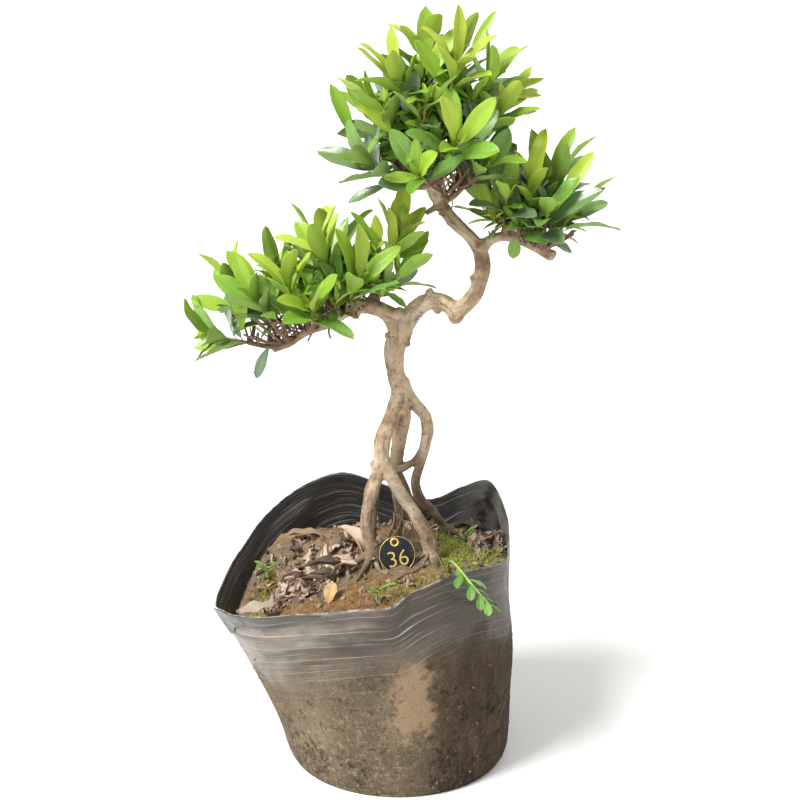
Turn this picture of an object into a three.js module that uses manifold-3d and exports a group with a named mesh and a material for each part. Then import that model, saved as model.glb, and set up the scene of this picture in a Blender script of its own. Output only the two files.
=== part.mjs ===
// A Chinese distylium bonsai on exposed, braided root stems, growing in a soft black nursery bag.
// Millimetres, +Z up. The origin is the centre of the bag's flat base; the tree's best side faces -Y.
import * as THREE from "three";
import { mergeVertices } from "three/addons/utils/BufferGeometryUtils.js";
import Module from "manifold-3d";

// Driving dimensions
const gap = 0.35; // air left between two pieces that touch
const up = new THREE.Vector3(0, 0, 1);
const goldenAngle = Math.PI * (3 - Math.sqrt(5));
const degree = Math.PI / 180;

const bag = {
  wall: 1.4, // thicker than the real film, so that it is a solid
  sectors: 36,
  baseCentre: -1.5, // x of the base circle's centre
  baseRadii: [79, 82],
  flare: 1.45, // how late the wall spreads on its way up to the mouth
  swell: 2.5, // how far the side stands out half-way up
  cornerHeight: 9, // the rounded edge under the wall
  cornerInset: 2.5,
  rimCentre: -26, // x of the middle of the mouth
};
// The mouth's edge, round from the right side by way of the back: two floppy flaps stand behind.
const rimPath = [
  [76, 0, 152],
  [77, 28, 164],
  [66, 58, 180],
  [46, 83, 167],
  [22, 92, 154],
  [-14, 96, 165],
  [-44, 92, 175],
  [-74, 82, 167],
  [-100, 64, 150],
  [-121, 34, 127],
  [-130, -4, 111],
  [-120, -34, 118],
  [-97, -68, 129],
  [-62, -90, 141],
  [-30, -98, 147],
  [-8, -98, 149],
  [10, -95, 159],
  [36, -84, 166],
  [60, -60, 162],
  [73, -30, 154],
];

const soil = {
  centre: [2, -6], // where the mound under the tree is highest
  crown: 151, // its height there
  edgeBelowRim: 8, // the soil's edge lies this far under the rim
  leftDrop: 10, // and this much more at the left
  edgeHighest: 144, // it is never higher than this
  backDrop: 10, // nor than this much lower at the back
  relief: 2.1, // height of the clods
  rings: [1, 0.86, 0.66, 0.45, 0.24],
  sideLevels: [0.55, 1],
};

// Each limb is [corners round it, steps along it, ...points], a point being x, y, z and radius.
const limbs = {
  trunk: [8, 8, [-12, -9, 214, 5.6], [-12, -7, 232, 5.7], [-6, -3, 247, 6], [1, 0, 264, 7.6],
    [-3, 0, 279, 6.5], [-4, 0, 293, 6.9], [-1, 0, 306, 7.6], [2, 0, 317, 6.4]],
  leftLeg: [7, 5, [-12, -9, 219, 5.4], [-19, -13, 199, 4.5], [-23, -17, 182, 4.2],
    [-22, -19, 167, 4.2], [-18, -20, 156, 4.8], [-17, -21, 141, 4.2]],
  rightLeg: [7, 5, [-12, -9, 219, 5.4], [-1, -13, 199, 4.8], [11, -17, 182, 4.6],
    [18, -18, 168, 4.7], [21, -19, 156, 5.2], [22, -20, 141, 4.4]],
  backStem: [7, 7, [0, 0, 268, 5], [2, 7, 247, 5.6], [-1, 14, 226, 5.3], [-3, 19, 207, 4.8],
    [-3, 24, 186, 3.2], [-1, 27, 169, 2.9], [0, 30, 151, 3.3], [0, 31, 137, 2.6]],
  backRoot: [5, 4, [-3, 20, 203, 3], [5, 25, 184, 2.9], [9, 28, 168, 2.9], [13, 30, 151, 3.5],
    [13, 31, 137, 2.8]],
  sideStem: [7, 10, [1, 0, 270, 5], [8, 2, 259, 4.6], [17, 6, 246, 4.3], [19, 8, 235, 4.4],
    [17, 10, 222, 4.1], [14, 13, 208, 3.3], [11, 17, 194, 3.4], [14, 22, 180, 3.6],
    [23, 27, 168, 3.6], [33, 33, 152, 3.7], [36, 35, 138, 2.8]],
  bridge: [5, 3, [17, 10, 223, 2.6], [9, 14, 210, 2.5], [-2, 18, 203, 3.2]],
  airRoot: [4, 3, [-13, -9, 210, 2.2], [-21, -11, 204, 1.7], [-24, -13, 194, 1.5], [-22, -17, 179, 1.7]],
  innerRoot: [4, 3, [-15, -9, 204, 2.2], [-17, -6, 182, 1.8], [-18, -8, 165, 1.8],
    [-19, -9, 139, 1.8]],
  toeLeft: [4, 2, [-18, -20, 158, 3.2], [-24, -30, 149, 2], [-30, -42, 143.5, 1.3]],
  toeOuter: [4, 2, [-19, -20, 157, 3.2], [-30, -22, 149.5, 2.2], [-41, -25, 144, 1.4]],
  toeRight: [4, 2, [21, -19, 158, 3.4], [24, -31, 149.5, 2.2], [22, -43, 144.5, 1.4]],
  toeBack: [4, 2, [35, 34, 152, 3], [45, 33, 148, 2], [54, 27, 144, 1.3]],
  leftBranch: [7, 10, [0, 0, 303, 7], [-5, 0, 317, 6.3], [-12, -1, 323, 5.5], [-22, -3, 326, 5],
    [-31, -5, 326, 5], [-40, -6, 321, 4.5], [-49, -6, 315, 3.7], [-58, -5, 311, 3.1],
    [-67, -3, 306, 2.8], [-75, -1, 300, 2.9], [-86, 1, 295, 2.5]],
  rightBranch: [7, 11, [0, 0, 303, 7], [5, -1, 315, 6.5], [12, -3, 325, 6], [21, -6, 331, 6],
    [30, -8, 330, 5.5], [37, -9, 325, 6], [44, -8, 329, 5.4], [50, -6, 336, 5.3],
    [54, -3, 345, 5.2], [55, 0, 354, 5.4], [53, 2, 367, 5.2]],
  crownBranch: [7, 6, [54, 1, 362, 4.6], [48, 3, 371, 4.4], [39, 4, 379, 4.3], [32, 4, 387, 4.3],
    [26, 3, 397, 4.7], [21, 1, 409, 5.6], [19, 0, 419, 4.4]],
  lobeBranch: [6, 6, [54, 1, 364, 4.4], [60, -2, 371, 3.8], [67, -5, 374, 3.3], [75, -6, 373, 3.2],
    [83, -5, 370, 3.3], [92, -3, 365, 3.5], [101, -1, 360, 3.8]],
  crownLeft: [5, 3, [20, -1, 408, 3.4], [9, -3, 413, 2.9], [0, -6, 423, 2.3], [-5, -8, 436, 1.7]],
  crownLow: [5, 3, [19, -2, 408, 3.2], [10, -8, 408, 2.5], [3, -13, 410, 2.1], [-5, -17, 415, 1.6]],
  crownUnder: [5, 2, [27, 3, 396, 3.2], [35, -6, 401, 2.2], [42, -13, 409, 1.6]],
  crownLeftBack: [5, 3, [19, 1, 410, 3.2], [9, 8, 421, 2.5], [4, 14, 434, 2.1], [4, 17, 447, 1.7]],
  crownRight: [5, 3, [21, 0, 411, 3.4], [33, -5, 419, 2.8], [44, -8, 429, 2.3], [53, -9, 441, 1.7]],
  crownRightBack: [5, 3, [21, 2, 410, 3.2], [33, 9, 417, 2.5], [43, 14, 425, 2.1],
    [50, 17, 436, 1.6]],
  crownMiddle: [5, 3, [19, 0, 412, 3.4], [15, 1, 434, 2.6], [20, 2, 455, 2.1], [19, 1, 475, 1.7]],
  crownFront: [5, 3, [19, -1, 410, 3.2], [18, -10, 418, 2.4], [14, -17, 430, 2], [15, -22, 444, 1.7]],
  crownBack: [5, 3, [20, 2, 410, 3.2], [24, 10, 426, 2.4], [28, 16, 444, 2], [30, 18, 459, 1.7]],
  leftUpright: [5, 3, [-23, -3, 326, 3.2], [-33, -7, 332, 2.4], [-40, -10, 338, 2], [-43, -12, 346, 1.7]],
  leftReturn: [5, 3, [-23, -3, 326, 3], [-17, 0, 335, 2.2], [-12, 2, 343, 1.9], [-9, 2, 352, 1.7]],
  leftRear: [5, 3, [-30, -4, 326, 2.8], [-32, 7, 330, 2.2], [-37, 15, 334, 1.9], [-40, 19, 341, 1.6]],
  leftTip: [5, 3, [-82, 1, 297, 2.4], [-89, -2, 298, 2], [-96, -5, 300, 1.8],
    [-103, -7, 302, 1.6]],
  leftOuter: [5, 3, [-73, -1, 302, 2.4], [-78, -8, 307, 2], [-82, -13, 312, 1.8], [-86, -16, 319, 1.6]],
  leftOuterRear: [5, 3, [-60, -4, 310, 2.6], [-63, 7, 313, 2.1], [-67, 15, 317, 1.8],
    [-72, 19, 324, 1.6]],
  lobeInner: [5, 2, [70, -5, 374, 2.2], [69, -10, 379, 1.8], [69, -14, 386, 1.5]],
  lobeRear: [5, 2, [80, -5, 371, 2.4], [83, 4, 375, 1.9], [86, 11, 383, 1.5]],
  lobeOuter: [5, 2, [93, -3, 365, 2.4], [99, -7, 368, 1.9], [103, -9, 375, 1.5]],
};
// Burrs, old cuts and swollen forks: x, y, z and the radii along x, y, z.
const knots = [
  [37, -11, 322, 6.4, 6, 5.4],
  [54, 1, 366, 6.2, 6, 6],
  [22, 0, 411, 7.4, 7, 7],
];
const stubs = [
  [[29, 3, 395], [22, 3, 391], [17, 3, 388]],
  [[-52, -5, 314], [-50, -6, 321], [-51, -7, 327]],
];

// A pad is a cloud of leafy shoots: one on the tip of each of its branchlets, and others between
// them on twigs, with their bases on a dome.
const pads = [
  {
    name: "crown", from: ["crownBranch"], tips: ["crownLeft", "crownLow", "crownUnder",
      "crownLeftBack", "crownRight", "crownRightBack", "crownMiddle", "crownFront", "crownBack"],
    centre: [24, -1, 436], radii: [29, 25, 38], places: 22, widest: 136, phase: 0.4,
    outward: 0.8, upward: 0.75, slope: 0, spacing: 17,
  },
  {
    name: "lobe", from: ["lobeBranch"], tips: ["lobeInner", "lobeRear", "lobeOuter"],
    centre: [87, -2, 378], radii: [22, 17, 14], places: 15, widest: 122, phase: 2.2,
    outward: 0.6, upward: 0.8, slope: -0.05, spacing: 13.5,
  },
  {
    name: "left", from: ["leftBranch"], tips: ["leftUpright", "leftReturn", "leftRear", "leftTip",
      "leftOuter", "leftOuterRear"],
    centre: [-60, -1, 319], radii: [47, 25, 16], places: 18, widest: 118, phase: 1.1,
    outward: 0.75, upward: 0.75, slope: 0.24, spacing: 15.5,
  },
];

const shootSize = { stem: 21, stemSpread: 0.35, radius: 1.25, tipRadius: 0.95, sides: 5, leaves: 8 };
const leafSize = { length: 38, lengthSpread: 0.36, width: 14, thickness: 1.3 };
const leafRibs = [0.24, 0.56, 0.84]; // where the blade has a rib, as a share of its length
const leafFoot = { height: 1.6, width: 0.42, lowest: 2.4 }; // the diamond that a blade grows from
// Angles in degrees: how far the lowest and the highest leaf open from the stem, and how each bends
// lengthwise and folds along its midrib, with the spread of each.
const leafHabit = {
  opens: [54, 14], openSpread: 14, turnSpread: 0.5, lift: 0.22, cup: 0.6, roll: 0.9,
  bend: 22, bendSpread: 40, fold: 20, foldSpread: 16, widthSpread: 0.3,
};
const leafTries = 24;
const laterTry = { open: 5, turn: 0.2, turnMost: 1.5, shrink: 0.025 }; // what each further try adds
const twigRadius = 1.7;
const stubRadii = [2.6, 1.7];

// A repeatable number from 0 to 1 for a list of whole numbers.
function draw(...keys) {
  let h = 2166136261;
  for (const key of keys) {
    h = Math.imul(h ^ key, 16777619) >>> 0;
    h = Math.imul(h ^ (h >>> 15), 2246822519) >>> 0;
    h = (h ^ (h >>> 13)) >>> 0;
  }
  return h / 4294967296;
}
const mix = (a, b, t) => a + (b - a) * t;
const vec = (p) => new THREE.Vector3(p[0], p[1], p[2]);

const wasm = await Module();
wasm.setup();

// A closed mesh as a solid, with its shared corners merged.
function solid(geometry) {
  const bare = geometry.clone();
  bare.deleteAttribute("normal");
  bare.deleteAttribute("uv");
  const merged = mergeVertices(bare, 1e-4);
  const mesh = new wasm.Mesh({
    numProp: 3,
    vertProperties: merged.attributes.position.array,
    triVerts: new Uint32Array(merged.index.array),
  });
  return new wasm.Manifold(mesh);
}

function geometryOf(points, triangles) {
  const flat = new Float32Array(points.flatMap((p) => [p.x, p.y, p.z]));
  return new THREE.BufferGeometry()
    .setAttribute("position", new THREE.BufferAttribute(flat, 3))
    .setIndex(triangles.flat());
}

function geometryFrom(made) {
  const mesh = made.getMesh();
  const flat = new Float32Array(mesh.numVert * 3);
  for (let i = 0; i < mesh.numVert; i++) {
    flat.set(mesh.vertProperties.subarray(i * mesh.numProp, i * mesh.numProp + 3), i * 3);
  }
  return new THREE.BufferGeometry()
    .setAttribute("position", new THREE.BufferAttribute(flat, 3))
    .setIndex(new THREE.BufferAttribute(mesh.triVerts, 1));
}

// Rings of corners joined into a closed skin, with a flat cap on each end. `slant` splits the
// quads the other way, for a skin that lies against one whose rings run downwards.
function skin(rings, slant = false) {
  const sides = rings[0].length;
  const triangles = [];
  for (let i = 0; i + 1 < rings.length; i++) {
    for (let j = 0; j < sides; j++) {
      const a = i * sides + j;
      const b = i * sides + ((j + 1) % sides);
      if (slant) triangles.push([a, b, a + sides], [b, b + sides, a + sides]);
      else triangles.push([a, b, b + sides], [a, b + sides, a + sides]);
    }
  }
  const last = (rings.length - 1) * sides;
  for (let j = 1; j + 1 < sides; j++) {
    triangles.push([0, j + 1, j], [last, last + j, last + j + 1]);
  }
  return geometryOf(rings.flat(), triangles);
}

// A tapered tube along a curve. `grow` makes it thicker all round and longer at its ends.
function tube(curve, radiusAt, sides, steps, grow = 0) {
  const rings = [];
  let side = null;
  for (let i = 0; i <= steps; i++) {
    const t = i / steps;
    const ahead = curve.getTangent(t).normalize();
    const from = side ?? (Math.abs(ahead.x) < 0.8 ? new THREE.Vector3(1, 0, 0) : up);
    side = from.clone().addScaledVector(ahead, -from.dot(ahead)).normalize();
    const across = new THREE.Vector3().crossVectors(ahead, side);
    const end = i === 0 ? -grow : i === steps ? grow : 0;
    const centre = curve.getPoint(t).addScaledVector(ahead, end);
    const radius = radiusAt(t) + grow;
    rings.push(
      Array.from({ length: sides }, (_, j) => {
        const turn = (2 * Math.PI * j) / sides;
        return centre.clone()
          .addScaledVector(side, radius * Math.cos(turn))
          .addScaledVector(across, radius * Math.sin(turn));
      }),
    );
  }
  return solid(skin(rings));
}

function limbCurve(name) {
  return new THREE.CatmullRomCurve3(limbs[name].slice(2).map(vec));
}

function limb(name, grow = 0) {
  const [sides, steps, ...points] = limbs[name];
  const radiusAt = (t) => {
    const place = t * (points.length - 1);
    const i = Math.min(Math.floor(place), points.length - 2);
    return mix(points[i][3], points[i + 1][3], place - i);
  };
  return tube(limbCurve(name), radiusAt, sides, steps, grow);
}

function knot([x, y, z, rx, ry, rz]) {
  return solid(new THREE.SphereGeometry(1, 6, 4).scale(rx, ry, rz).translate(x, y, z));
}

// The bag: every sector has a straight edge at each level, so that the soil's side can follow it.
const rimCurve = new THREE.CatmullRomCurve3(rimPath.map(vec), true);
const sectors = Array.from({ length: bag.sectors }, (_, j) => {
  const rim = rimCurve.getPoint(j / bag.sectors);
  const turn = Math.atan2(rim.y, rim.x - bag.rimCentre);
  const outward = new THREE.Vector3(Math.cos(turn), Math.sin(turn), 0);
  const foot = new THREE.Vector3(
    bag.baseCentre + outward.x * bag.baseRadii[0],
    outward.y * bag.baseRadii[1],
    0,
  );
  const highest = soil.edgeHighest - soil.backDrop * Math.max(0, outward.y);
  const below = soil.edgeBelowRim + soil.leftDrop * Math.max(0, -outward.x);
  const soilEdge = Math.min(rim.z - below, highest);
  return { rim, outward, foot, soilEdge };
});

// A point of the wall at a height, moved inwards by `inset`. The side swells a little half-way up.
function wallPoint({ rim, outward, foot }, height, inset) {
  const share = height / rim.z;
  const corner = Math.max(0, 1 - height / bag.cornerHeight);
  const swell = bag.swell * Math.sin(Math.PI * share) - bag.cornerInset * corner ** 2;
  const at = foot.clone().lerp(rim, share ** bag.flare).setZ(height);
  return at.addScaledVector(outward, swell - inset);
}

function wallLevels({ rim, soilEdge }) {
  const under = soil.sideLevels.map((s) => s * soilEdge);
  return [bag.cornerHeight, ...under, rim.z];
}

function makeBag() {
  const ring = (pick) => sectors.map(pick);
  const levels = wallLevels(sectors[0]).length;
  const outside = [ring((s) => wallPoint(s, 0, 0))];
  for (let i = 0; i < levels; i++) {
    outside.push(ring((s) => wallPoint(s, wallLevels(s)[i], 0)));
  }
  const inside = [];
  for (let i = levels - 1; i >= 0; i--) {
    inside.push(ring((s) => wallPoint(s, wallLevels(s)[i], bag.wall)));
  }
  inside.push(ring((s) => wallPoint(s, 0, bag.wall).setZ(bag.wall)));
  return solid(skin([...outside, ...inside]));
}

// Low hummocks, the same for the same place.
function clods(x, y) {
  const broad = Math.sin(x * 0.11 + 1.3) * Math.cos(y * 0.13 - 0.4);
  const fine = Math.sin(x * 0.29 - y * 0.17) * Math.cos(y * 0.31 + x * 0.07);
  return soil.relief * (0.6 * broad + 0.6 * fine);
}

function soilTop(sector, share) {
  const edge = wallPoint(sector, sector.soilEdge, bag.wall + gap);
  const at = new THREE.Vector3(soil.centre[0], soil.centre[1], soil.crown).lerp(edge, share);
  at.z = mix(soil.crown, sector.soilEdge, share ** 1.5) + clods(at.x, at.y) * (1 - share ** 6);
  return at;
}

function makeSoil(rootHoles) {
  const ring = (pick) => sectors.map(pick);
  const inset = bag.wall + gap;
  const sides = [
    ring((s) => wallPoint(s, 0, inset).setZ(bag.wall + gap)),
    ring((s) => wallPoint(s, bag.cornerHeight, inset)),
  ];
  for (const level of soil.sideLevels.slice(0, -1)) {
    sides.push(ring((s) => wallPoint(s, level * s.soilEdge, inset)));
  }
  const top = soil.rings.map((share) => ring((s) => soilTop(s, share)));
  const whole = solid(skin([...sides, ...top], true));
  return largest(whole.subtract(wasm.Manifold.union(rootHoles)));
}

function largest(made) {
  return made.decompose().sort((a, b) => b.volume() - a.volume())[0];
}

// Where each shoot of a pad starts and which way it grows: first the tips, then the dome.
function padShoots(pad) {
  const shoots = pad.tips.map((name) => {
    const curve = limbCurve(name);
    return { pad, base: curve.getPoint(1), way: curve.getTangent(1).normalize(), onTip: true };
  });
  for (let i = 0; i < pad.places; i++) {
    const down = (1 - Math.cos(pad.widest * degree)) * ((i + 0.5) / pad.places);
    const polar = Math.acos(1 - down);
    const turn = i * goldenAngle + pad.phase;
    const out = new THREE.Vector3(
      Math.sin(polar) * Math.cos(turn),
      Math.sin(polar) * Math.sin(turn),
      Math.cos(polar),
    );
    const base = out.clone().multiply(vec(pad.radii)).add(vec(pad.centre));
    base.z += pad.slope * (base.x - pad.centre[0]);
    if (shoots.some((other) => other.base.distanceTo(base) < pad.spacing)) continue;
    const way = out.clone().multiplyScalar(pad.outward).addScaledVector(up, pad.upward);
    shoots.push({ pad, base, way: way.normalize() });
  }
  return shoots;
}

function allShoots() {
  const shoots = pads.flatMap(padShoots);
  shoots.forEach((shoot, k) => {
    const spread = 1 + shootSize.stemSpread * (draw(k, 1) - 0.5);
    shoot.seed = k;
    shoot.length = shootSize.stem * spread;
    shoot.leaves = shootSize.leaves - (draw(k, 2) < 0.35 ? 1 : 0);
    const sideways = new THREE.Vector3().crossVectors(shoot.way, new THREE.Vector3(0.3, 1, 0.2));
    shoot.forward = sideways.normalize().applyAxisAngle(shoot.way, 2.1 * k);
    const place = shoots.slice(0, k + 1).filter((s) => s.pad === shoot.pad).length;
    shoot.name = `shoot_${shoot.pad.name}_${String(place).padStart(2, "0")}`;
  });
  return shoots;
}

// The woody twig that carries a shoot, from the nearest limb below it.
function twig(shoot) {
  let best = null;
  for (const name of [...shoot.pad.from, ...shoot.pad.tips]) {
    const curve = limbCurve(name);
    for (let i = 0; i <= 12; i++) {
      const from = curve.getPoint(0.15 + (0.8 * i) / 12);
      const climb = Math.max(0, from.z - shoot.base.z + 6);
      const cost = from.distanceTo(shoot.base) + 1.5 * climb;
      if (!best || cost < best.cost) best = { from, cost };
    }
  }
  const reach = best.from.distanceTo(shoot.base);
  const bend = shoot.base.clone().addScaledVector(shoot.way, -0.5 * reach);
  const curve = new THREE.QuadraticBezierCurve3(best.from, bend, shoot.base);
  return tube(curve, (t) => mix(twigRadius, shootSize.radius, t), 3, 2);
}

// A point on one of the stem's lengthwise edges; a share moves it towards the next edge.
function stemPoint(shoot, edge, height, share = 0) {
  const radius = mix(shootSize.radius, shootSize.tipRadius, height / shoot.length);
  const at = (j) => {
    const around = (2 * Math.PI * j) / shootSize.sides;
    return shoot.forward.clone().applyAxisAngle(shoot.way, around).multiplyScalar(radius);
  };
  const out = at(edge).lerp(at(edge + Math.sign(share)), Math.abs(share));
  return shoot.base.clone().addScaledVector(shoot.way, gap + height).add(out);
}

// How leaf i of a shoot would sit at one of its tries: later tries turn away, open more and shrink.
function leafPose(shoot, i, attempt) {
  const pick = (channel) => draw(shoot.seed, i, attempt, channel) - 0.5;
  const along = i / (shoot.leaves - 1);
  const edge = (2 * i) % shootSize.sides;
  const height = mix(leafFoot.lowest, shoot.length - leafFoot.height, along);
  const habit = leafHabit;
  const turnSpread = Math.min(laterTry.turnMost, habit.turnSpread + laterTry.turn * attempt);
  const turn = (2 * Math.PI * edge) / shootSize.sides + pick(1) * turnSpread;
  const radial = shoot.forward.clone().applyAxisAngle(shoot.way, turn);
  const openSpread = habit.openSpread + laterTry.open * attempt;
  const opening = mix(habit.opens[0], habit.opens[1], along) + pick(2) * openSpread;
  const ahead = shoot.way.clone().multiplyScalar(Math.cos(opening * degree));
  ahead.addScaledVector(radial, Math.sin(opening * degree));
  ahead.addScaledVector(up, habit.lift).normalize();
  const face = shoot.way.clone().addScaledVector(radial, -habit.cup);
  face.addScaledVector(ahead, -face.dot(ahead)).normalize();
  face.applyAxisAngle(ahead, pick(3) * habit.roll);
  const shrink = 1 - laterTry.shrink * attempt;
  return {
    edge,
    height,
    root: stemPoint(shoot, edge, height),
    ahead,
    face,
    side: new THREE.Vector3().crossVectors(face, ahead),
    length: leafSize.length * (1 + leafSize.lengthSpread * pick(4)) * shrink,
    width: leafSize.width * (1 + habit.widthSpread * pick(5)) * shrink,
    bend: (habit.bend + habit.bendSpread * pick(6)) * degree,
    fold: (habit.fold + habit.foldSpread * pick(7)) * degree,
  };
}

// A point of the midrib: it runs along an arc that turns away from the upper face.
function midrib(pose, share) {
  const arc = pose.bend * share;
  const forward = (pose.length * Math.sin(arc)) / pose.bend;
  const drop = (pose.length * (1 - Math.cos(arc))) / pose.bend;
  const at = pose.root.clone().addScaledVector(pose.ahead, forward).addScaledVector(pose.face, -drop);
  const normal = pose.face.clone().multiplyScalar(Math.cos(arc));
  return { at, normal: normal.addScaledVector(pose.ahead, Math.sin(arc)) };
}

const outline = (share) => Math.sin(Math.PI * share ** 1.2) ** 0.7;

// A rib across the blade: left edge, upper middle, right edge, lower middle.
function rib(pose, share, grow = 0) {
  const { at, normal } = midrib(pose, share);
  const half = leafSize.thickness / 2 + grow;
  const reach = (pose.width / 2) * outline(share) + grow;
  const edge = (way) =>
    at.clone()
      .addScaledVector(pose.side, way * reach * Math.cos(pose.fold))
      .addScaledVector(normal, reach * Math.sin(pose.fold));
  const above = at.clone().addScaledVector(normal, half);
  const below = at.clone().addScaledVector(normal, -half);
  return [edge(-1), above, edge(1), below];
}

// Joins ribs of four corners and a tip into the blade's skin; both faces split the same way.
function bladeSkin(ribs, tip) {
  const triangles = [];
  for (let i = 0; i + 1 < ribs.length; i++) {
    const [left, above, right, below] = ribs[i];
    const [nextLeft, nextAbove, nextRight, nextBelow] = ribs[i + 1];
    triangles.push([left, nextLeft, above], [above, nextLeft, nextAbove]);
    triangles.push([above, nextRight, right], [above, nextAbove, nextRight]);
    triangles.push([right, nextRight, below], [below, nextRight, nextBelow]);
    triangles.push([below, nextLeft, left], [below, nextBelow, nextLeft]);
  }
  const last = ribs[ribs.length - 1];
  for (let j = 0; j < 4; j++) triangles.push([last[(j + 1) % 4], last[j], tip]);
  return triangles;
}

// A blade on its own, closed across its foot.
function blade(pose, shares, grow = 0) {
  const points = shares.flatMap((share) => rib(pose, share, grow));
  points.push(midrib(pose, 1 + grow / pose.length).at);
  const ribs = shares.map((_, i) => [4 * i, 4 * i + 1, 4 * i + 2, 4 * i + 3]);
  const triangles = bladeSkin(ribs, points.length - 1);
  triangles.push([0, 1, 2], [0, 2, 3]);
  return geometryOf(points, triangles);
}

// A leafy shoot is one skin: a five-sided stem whose leaves grow out of diamonds across its edges.
function leafyShoot(shoot) {
  const points = [];
  const triangles = [];
  const put = (p) => points.push(p) - 1;
  const sides = [...Array(shootSize.sides).keys()];
  const foot = sides.map((j) => put(stemPoint(shoot, j, 0)));
  const head = sides.map((j) => put(stemPoint(shoot, j, shoot.length)));
  const diamonds = sides.map(() => []);
  for (const pose of shoot.grown) {
    const { edge, height } = pose;
    const low = put(stemPoint(shoot, edge, height - leafFoot.height / 2));
    const high = put(stemPoint(shoot, edge, height + leafFoot.height / 2));
    const before = put(stemPoint(shoot, edge, height, -leafFoot.width));
    const after = put(stemPoint(shoot, edge, height, leafFoot.width));
    diamonds[edge].push({ low, high, before, after });
    const ribs = leafRibs.map((share) => rib(pose, share).map(put));
    triangles.push(...bladeSkin([[before, high, after, low], ...ribs], put(midrib(pose, 1).at)));
  }
  for (const j of sides) {
    const k = (j + 1) % sides.length;
    const climb = diamonds[k].flatMap((d) => [d.low, d.before, d.high]);
    const descend = diamonds[j].flatMap((d) => [d.low, d.after, d.high]).reverse();
    const ring = [foot[j], foot[k], ...climb, head[k], head[j], ...descend];
    const across = points[foot[k]].clone().sub(points[foot[j]]).normalize();
    const flat = ring.map((i) => new THREE.Vector2(points[i].dot(across), points[i].dot(shoot.way)));
    const found = THREE.ShapeUtils.triangulateShape(flat, []);
    triangles.push(...found.map((t) => t.map((i) => ring[i])));
  }
  for (let j = 1; j + 1 < sides.length; j++) {
    triangles.push([foot[0], foot[j + 1], foot[j]], [head[0], head[j], head[j + 1]]);
  }
  return solid(geometryOf(points, triangles));
}

// Triangles with their boxes, to test quickly whether two surfaces cross.
function trianglesOf(geometry) {
  const position = geometry.attributes.position;
  const index = geometry.index.array;
  const found = [];
  for (let i = 0; i < index.length; i += 3) {
    const corners = [0, 1, 2].map((j) => new THREE.Vector3().fromBufferAttribute(position, index[i + j]));
    found.push({ corners, box: new THREE.Box3().setFromPoints(corners) });
  }
  const box = new THREE.Box3();
  for (const t of found) box.union(t.box);
  return { found, box };
}

const ray = new THREE.Ray();
const hit = new THREE.Vector3();
function edgeCrosses(from, to, [a, b, c]) {
  ray.origin.copy(from);
  ray.direction.subVectors(to, from);
  const length = ray.direction.length();
  ray.direction.divideScalar(length);
  return ray.intersectTriangle(a, b, c, false, hit) !== null && hit.distanceTo(from) <= length;
}

function surfacesCross(a, b) {
  if (!a.box.intersectsBox(b.box)) return false;
  const near = b.found.filter((t) => t.box.intersectsBox(a.box));
  for (const s of a.found) {
    for (const t of near) {
      if (!s.box.intersectsBox(t.box)) continue;
      for (let j = 0; j < 3; j++) {
        const k = (j + 1) % 3;
        if (edgeCrosses(s.corners[j], s.corners[k], t.corners)) return true;
        if (edgeCrosses(t.corners[j], t.corners[k], s.corners)) return true;
      }
    }
  }
  return false;
}

// Leaves are tried in turn on every shoot, lowest first, and each is kept at the first clear try.
function growLeaves(shoots, woodGeometry) {
  const wood = trianglesOf(woodGeometry);
  const reach = vec([160, 160, 160]);
  const limbsNear = shoots.map((shoot) => {
    const box = new THREE.Box3().setFromCenterAndSize(shoot.base, reach);
    return { box, found: wood.found.filter((t) => box.intersectsBox(t.box)) };
  });
  shoots.forEach((shoot) => (shoot.grown = []));
  const stems = shoots.map((shoot) => trianglesOf(geometryFrom(leafyShoot(shoot))));
  const placed = [];
  for (let i = 0; i < shootSize.leaves; i++) {
    shoots.forEach((shoot, k) => {
      if (i >= shoot.leaves) return;
      for (let attempt = 0; attempt < leafTries; attempt++) {
        const pose = leafPose(shoot, i, attempt);
        const swollen = trianglesOf(blade(pose, [0.06, ...leafRibs], gap));
        const blocked =
          surfacesCross(swollen, limbsNear[k]) ||
          stems.some((other) => surfacesCross(swollen, other)) ||
          placed.some((other) => surfacesCross(swollen, other));
        if (blocked) continue;
        placed.push(trianglesOf(blade(pose, [0.03, ...leafRibs])));
        shoot.grown.push(pose);
        return;
      }
    });
  }
}

// A small herb creeping over the bag's front edge, and seedlings: a stem with paired leaves.
const herbs = {
  weed_trailing: {
    path: [[33, -33, 144], [33, -47, 159], [37, -84, 172], [45, -99, 167], [52, -104, 160],
      [58, -107, 154]],
    radius: 1, leaf: [13, 6.4], from: 0.5, pairs: 4,
  },
  seedling_front: {
    path: [[-15, -75, 142], [-15, -76, 149], [-13, -79, 154]],
    radius: 0.9, leaf: [13, 4.4], from: 0.55, pairs: 2,
  },
  seedling_left: {
    path: [[-94, 20, 112], [-95, 20, 124], [-96, 18, 131]],
    radius: 0.9, leaf: [11, 4.4], from: 0.5, pairs: 2,
  },
  seedling_right: {
    path: [[46, 20, 139], [46, 19, 149], [47, 17, 156]],
    radius: 0.9, leaf: [12, 3.8], from: 0.5, pairs: 2,
  },
};

const herbRibs = [0.03, 0.5];

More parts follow.
